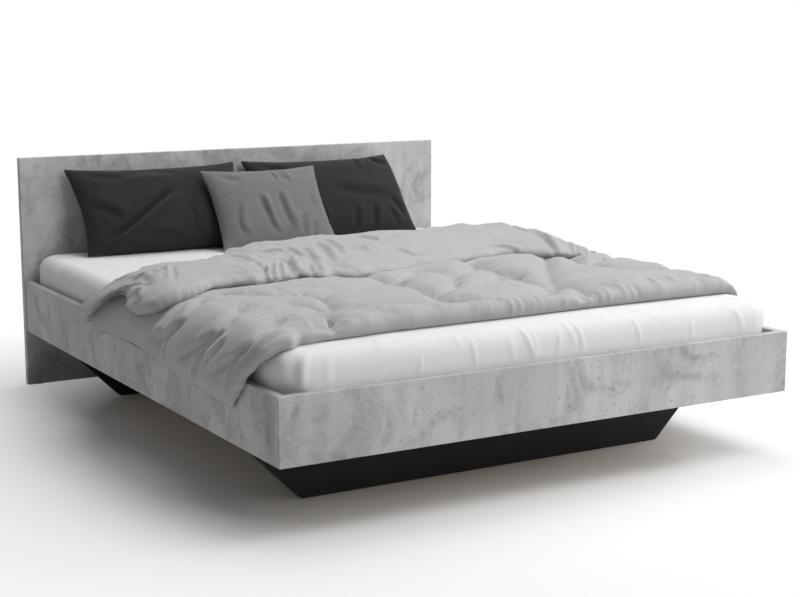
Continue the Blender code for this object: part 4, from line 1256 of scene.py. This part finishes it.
# Creases of the fronts, measured from each one's middle: line, depth, width and lip
leftPillowFolds = inMetres((
    ((40, 60, -60, -10, -170, -85, -265, -130), 26, 12, 16),
    ((60, 118, -60, 128, -170, 112), 7, 14, 5),
    ((85, -20, 80, -85, 76, -140), 8, 12, 5),
    ((165, 35, 190, -50, 215, -140), 10, 14, 7),
    ((225, 40, 255, -40, 285, -120), 9, 13, 6),
    ((-310, 150, -220, 118, -130, 105), 8, 12, 6),
    ((-290, 20, -220, -20, -170, -60), 8, 16, 6),
    ((-120, -110, -40, -120, 40, -135), 8, 13, 6),
))
rightPillowFolds = inMetres((
    ((170, 172, 215, 128, 262, 122, 300, 140), 18, 10, 12),
    ((105, 160, 120, 130, 100, 100), 10, 9, 6),
    ((-20, 10, 110, -12, 250, -20), 8, 18, 6),
    ((60, -55, 55, -105, 52, -150), 9, 11, 6),
    ((140, -50, 135, -105, 130, -150), 10, 12, 7),
    ((225, -20, 250, -70, 285, -110), 10, 14, 8),
    ((200, -75, 230, -110, 245, -150), 9, 11, 6),
    ((-300, 150, -220, 110, -150, 100), 8, 12, 6),
    ((-80, -60, -90, -110, -80, -150), 8, 12, 6),
))
cushionFolds = inMetres((
    ((12, 152, 20, 125, 30, 85), 9, 8, 5),
    ((34, 154, 44, 125, 60, 80), 9, 8, 5),
    ((52, 152, 66, 110, 82, 75), 8, 8, 5),
    ((-50, 45, -45, -20, -30, -85, 2, -130), 9, 8, 8),
    ((-58, 35, -50, -15, -35, -55), 6, 8, 4),
    ((20, 50, 26, -20, 45, -110), 10, 11, 8),
    ((85, -120, 95, -75, 110, -45), 9, 12, 6),
    ((130, -140, 135, -105, 150, -80), 8, 10, 5),
    ((-120, 20, -150, -30, -150, -85, -110, -120), 7, 9, 6),
    ((180, 60, 150, 20, 150, -30), 7, 14, 5),
    ((-200, 140, -150, 110, -100, 100), 7, 11, 5),
    ((205, 145, 160, 115, 110, 110), 7, 11, 5),
))


def pillowShape(sizes, narrowing, seed):
    # Front and back grids that share their rim: points, flat cut, faces and grid places
    columns = round(sizes["width"] / sizes["cell"])
    rows = round(sizes["height"] / sizes["cell"])
    u, v = np.meshgrid(np.linspace(-1, 1, columns + 1), np.linspace(-1, 1, rows + 1), indexing="ij")
    x = sizes["width"] / 2 * u * (1 - filling["endDraw"] * (1 - v * v) * u * u)
    x = x - sizes["slump"] / 2 * v - narrowing * np.maximum(0, u) ** 2 * np.maximum(0, v) ** 2
    up = sizes["height"] / 2 * v * (1 - filling["sideDraw"] * (1 - u * u) * v * v)
    up = up + sizes["height"] * filling["earLift"] * u * u * np.maximum(0, -v) ** 3
    crown = (1 - np.abs(u) ** filling["cornerPower"]) * (1 - np.abs(v) ** filling["cornerPower"])
    out = sizes["thickness"] / 2 * np.maximum(0, crown) ** filling["crownPower"] * (1 - filling["sag"] * v)
    rim = (np.abs(u) > 0.999999) | (np.abs(v) > 0.999999)
    front = np.arange(u.size).reshape(u.shape)
    back = np.where(rim, front, 0)
    back[~rim] = u.size + np.arange((~rim).sum())
    points = np.concatenate([np.stack([x, -out, up], -1).reshape(-1, 3),
                             np.stack([x, out, up], -1)[~rim]])
    growX, growUp = filling["spare"]
    flatX, flatUp = u * sizes["width"] / 2 * (1 + growX), v * sizes["height"] / 2 * (1 + growUp)
    flat = np.stack([flatX, up * 0, flatUp], -1)
    cut = np.concatenate([flat.reshape(-1, 3), flat[~rim]])
    faces = np.stack([quads(front), quads(back, (0, 3, 2, 1))], axis=2).reshape(-1, 4).tolist()
    points += np.random.default_rng(seed).normal(0, filling["jitter"], points.shape)
    places = cut[:, (0, 2)]
    places[u.size:, 0] += 2
    return points, cut, faces, places, u.size


def addPillow(name, material, sizes, middleX, middleY, narrowing, folds, seed):
    points, cut, faces, places, frontCount = pillowShape(sizes, narrowing, seed)
    flat = points.copy()
    still = np.zeros(len(points))
    points = settleCloth(points, faces, cut, still, filling["bending"], filling["pressure"])
    away = np.abs(flat[:, 1]) / (sizes["thickness"] / 2)
    isFront = np.arange(len(points)) < frontCount
    for fold in folds:
        depth = creaseHeight(flat[:, 0], flat[:, 2], fold)
        points[:, 1] -= np.where(isFront, np.minimum(1, away * 1.6), 0) * depth
    lean = sizes["lean"]
    reachDown = math.hypot(sizes["height"] / 2 * math.cos(lean), sizes["thickness"] / 2 * math.sin(lean))
    turned = np.stack([points[:, 0],
                       points[:, 1] * math.cos(lean) + points[:, 2] * math.sin(lean),
                       -points[:, 1] * math.sin(lean) + points[:, 2] * math.cos(lean)], -1)
    placed = turned + (middleX, middleY, bedTop + reachDown - sizes["sink"])
    placed[:, 1] = np.minimum(placed[:, 1], wellBack - touchGap)
    placed[:, 2] = np.maximum(placed[:, 2], bedTop)
    piece = clothPiece(name + "_cover", placed, faces, places, material)
    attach(piece, name)
    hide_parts(name)


pillowBack = math.hypot(pillow["height"] / 2 * math.sin(pillow["lean"]),
                        pillow["thickness"] / 2 * math.cos(pillow["lean"]))
pillowY = wellBack - touchGap - pillowBack
pillowStep = (pillow["width"] + pillow["gap"]) / 2
charcoalCotton = makeCotton("charcoalCotton", (0.019, 0.019, 0.0205), 0.16, 0.92, 0.06)
midGreyCotton = makeCotton("midGreyCotton", (0.168, 0.167, 0.165), 0.10)
addPillow("pillow_left", charcoalCotton, pillow, pillow["shift"] - pillowStep,
          pillowY, 0.0, leftPillowFolds, 31)
addPillow("pillow_right", charcoalCotton, pillow, pillow["shift"] + pillowStep,
          pillowY, pillow["narrowing"], rightPillowFolds, 32)
addPillow("cushion", midGreyCotton, cushion, cushion["shift"],
          pillowY - cushion["standOff"], 0.0, cushionFolds, 33)
print("pillows and cushion made")


# Stage, light and camera

stage = {
    "floorTone": 0.95,
    "clearRadius": 0.85,
    "whiteRadius": 1.9,
    "ambient": (0.185, 0.185, 0.188),
    "lens": 71.44,
    "sensor": 36,
    "cameraPlace": (-2.4701, -3.7311, 1.2808),
    "cameraDown": 9.96,
    "cameraTurn": -30.24,
}
# Place, aim, size and power
softboxes = {
    "keyLight": ((1.6, -3.6, 2.6), (0, 0.4, 0.3), (2.4, 2.0), 34),
    "frontLight": ((1.2, -1.5, 3.6), (0, 0.2, 0.3), (2.6, 2.2), 68),
    "sideLight": ((4.2, -0.6, 1.9), (0.2, 0.3, 0.3), (2.0, 1.6), 56),
    "overheadLight": ((0.4, 1.4, 3.8), (0, 0.6, 0.3), (3.2, 3.2), 74),
}

bpy.ops.object.select_all(action="DESELECT")
bpy.ops.mesh.primitive_plane_add(size=80, location=(0, 0, 0))
floor = bpy.context.object
floor.name = "floor"
# The floor takes the shadows near the bed and runs out to plain white away from it
floorMaterial, floorTree, floorShader = startMaterial("floorPaint", (stage["floorTone"],) * 3, 0.9)
setInputs(floorTree, floorShader, {"Specular IOR Level": 0.1})
floorPlace = objectPlace(floorTree, (1.0, 0.85, 1.0))
fromMiddle = addNode(floorTree, "VectorMath", {0: floorPlace, 1: (-0.1, 0.45, 0)}, operation="DISTANCE")
away = fromTo(floorTree, fromMiddle.outputs["Value"], stage["clearRadius"], stage["whiteRadius"])
direct = addNode(floorTree, "LightPath", {}).outputs["Is Camera Ray"]
plain = addNode(floorTree, "Emission", {"Color": (1, 1, 1, 1)})
blend = addNode(floorTree, "MixShader", {0: maths(floorTree, "MULTIPLY", away, direct),
                                         1: floorShader.outputs["BSDF"], 2: plain.outputs["Emission"]})
setInputs(floorTree, floorTree.nodes["Material Output"], {"Surface": blend.outputs["Shader"]})
floor.data.materials.append(floorMaterial)

world = bpy.data.worlds.new("softStudio")
bpy.context.scene.world = world
world.use_nodes = True
worldTree = world.node_tree
rays = addNode(worldTree, "LightPath", {}).outputs
seen = maths(worldTree, "MAXIMUM", rays["Is Camera Ray"], rays["Is Glossy Ray"])
seen = maths(worldTree, "MAXIMUM", seen, rays["Is Transmission Ray"])
backdrop = mixColour(worldTree, seen, stage["ambient"], (1, 1, 1))
setInputs(worldTree, worldTree.nodes["Background"], {"Color": backdrop})

for name, (place, aim, size, power) in softboxes.items():
    lamp = bpy.data.lights.new(name, "AREA")
    lamp.shape = "RECTANGLE"
    lamp.size, lamp.size_y = size
    lamp.energy = power
    box = bpy.data.objects.new(name, lamp)
    box.location = place
    box.rotation_euler = (Vector(aim) - Vector(place)).to_track_quat("-Z", "Y").to_euler()
    bpy.context.scene.collection.objects.link(box)

cameraData = bpy.data.cameras.new("camera")
cameraData.lens = stage["lens"]
cameraData.sensor_width = stage["sensor"]
camera = bpy.data.objects.new("camera", cameraData)
camera.location = stage["cameraPlace"]
camera.rotation_euler = Euler((math.radians(90 - stage["cameraDown"]), 0, math.radians(stage["cameraTurn"])))
bpy.context.scene.collection.objects.link(camera)
bpy.context.scene.camera = camera
bpy.context.scene.view_settings.view_transform = "Standard"
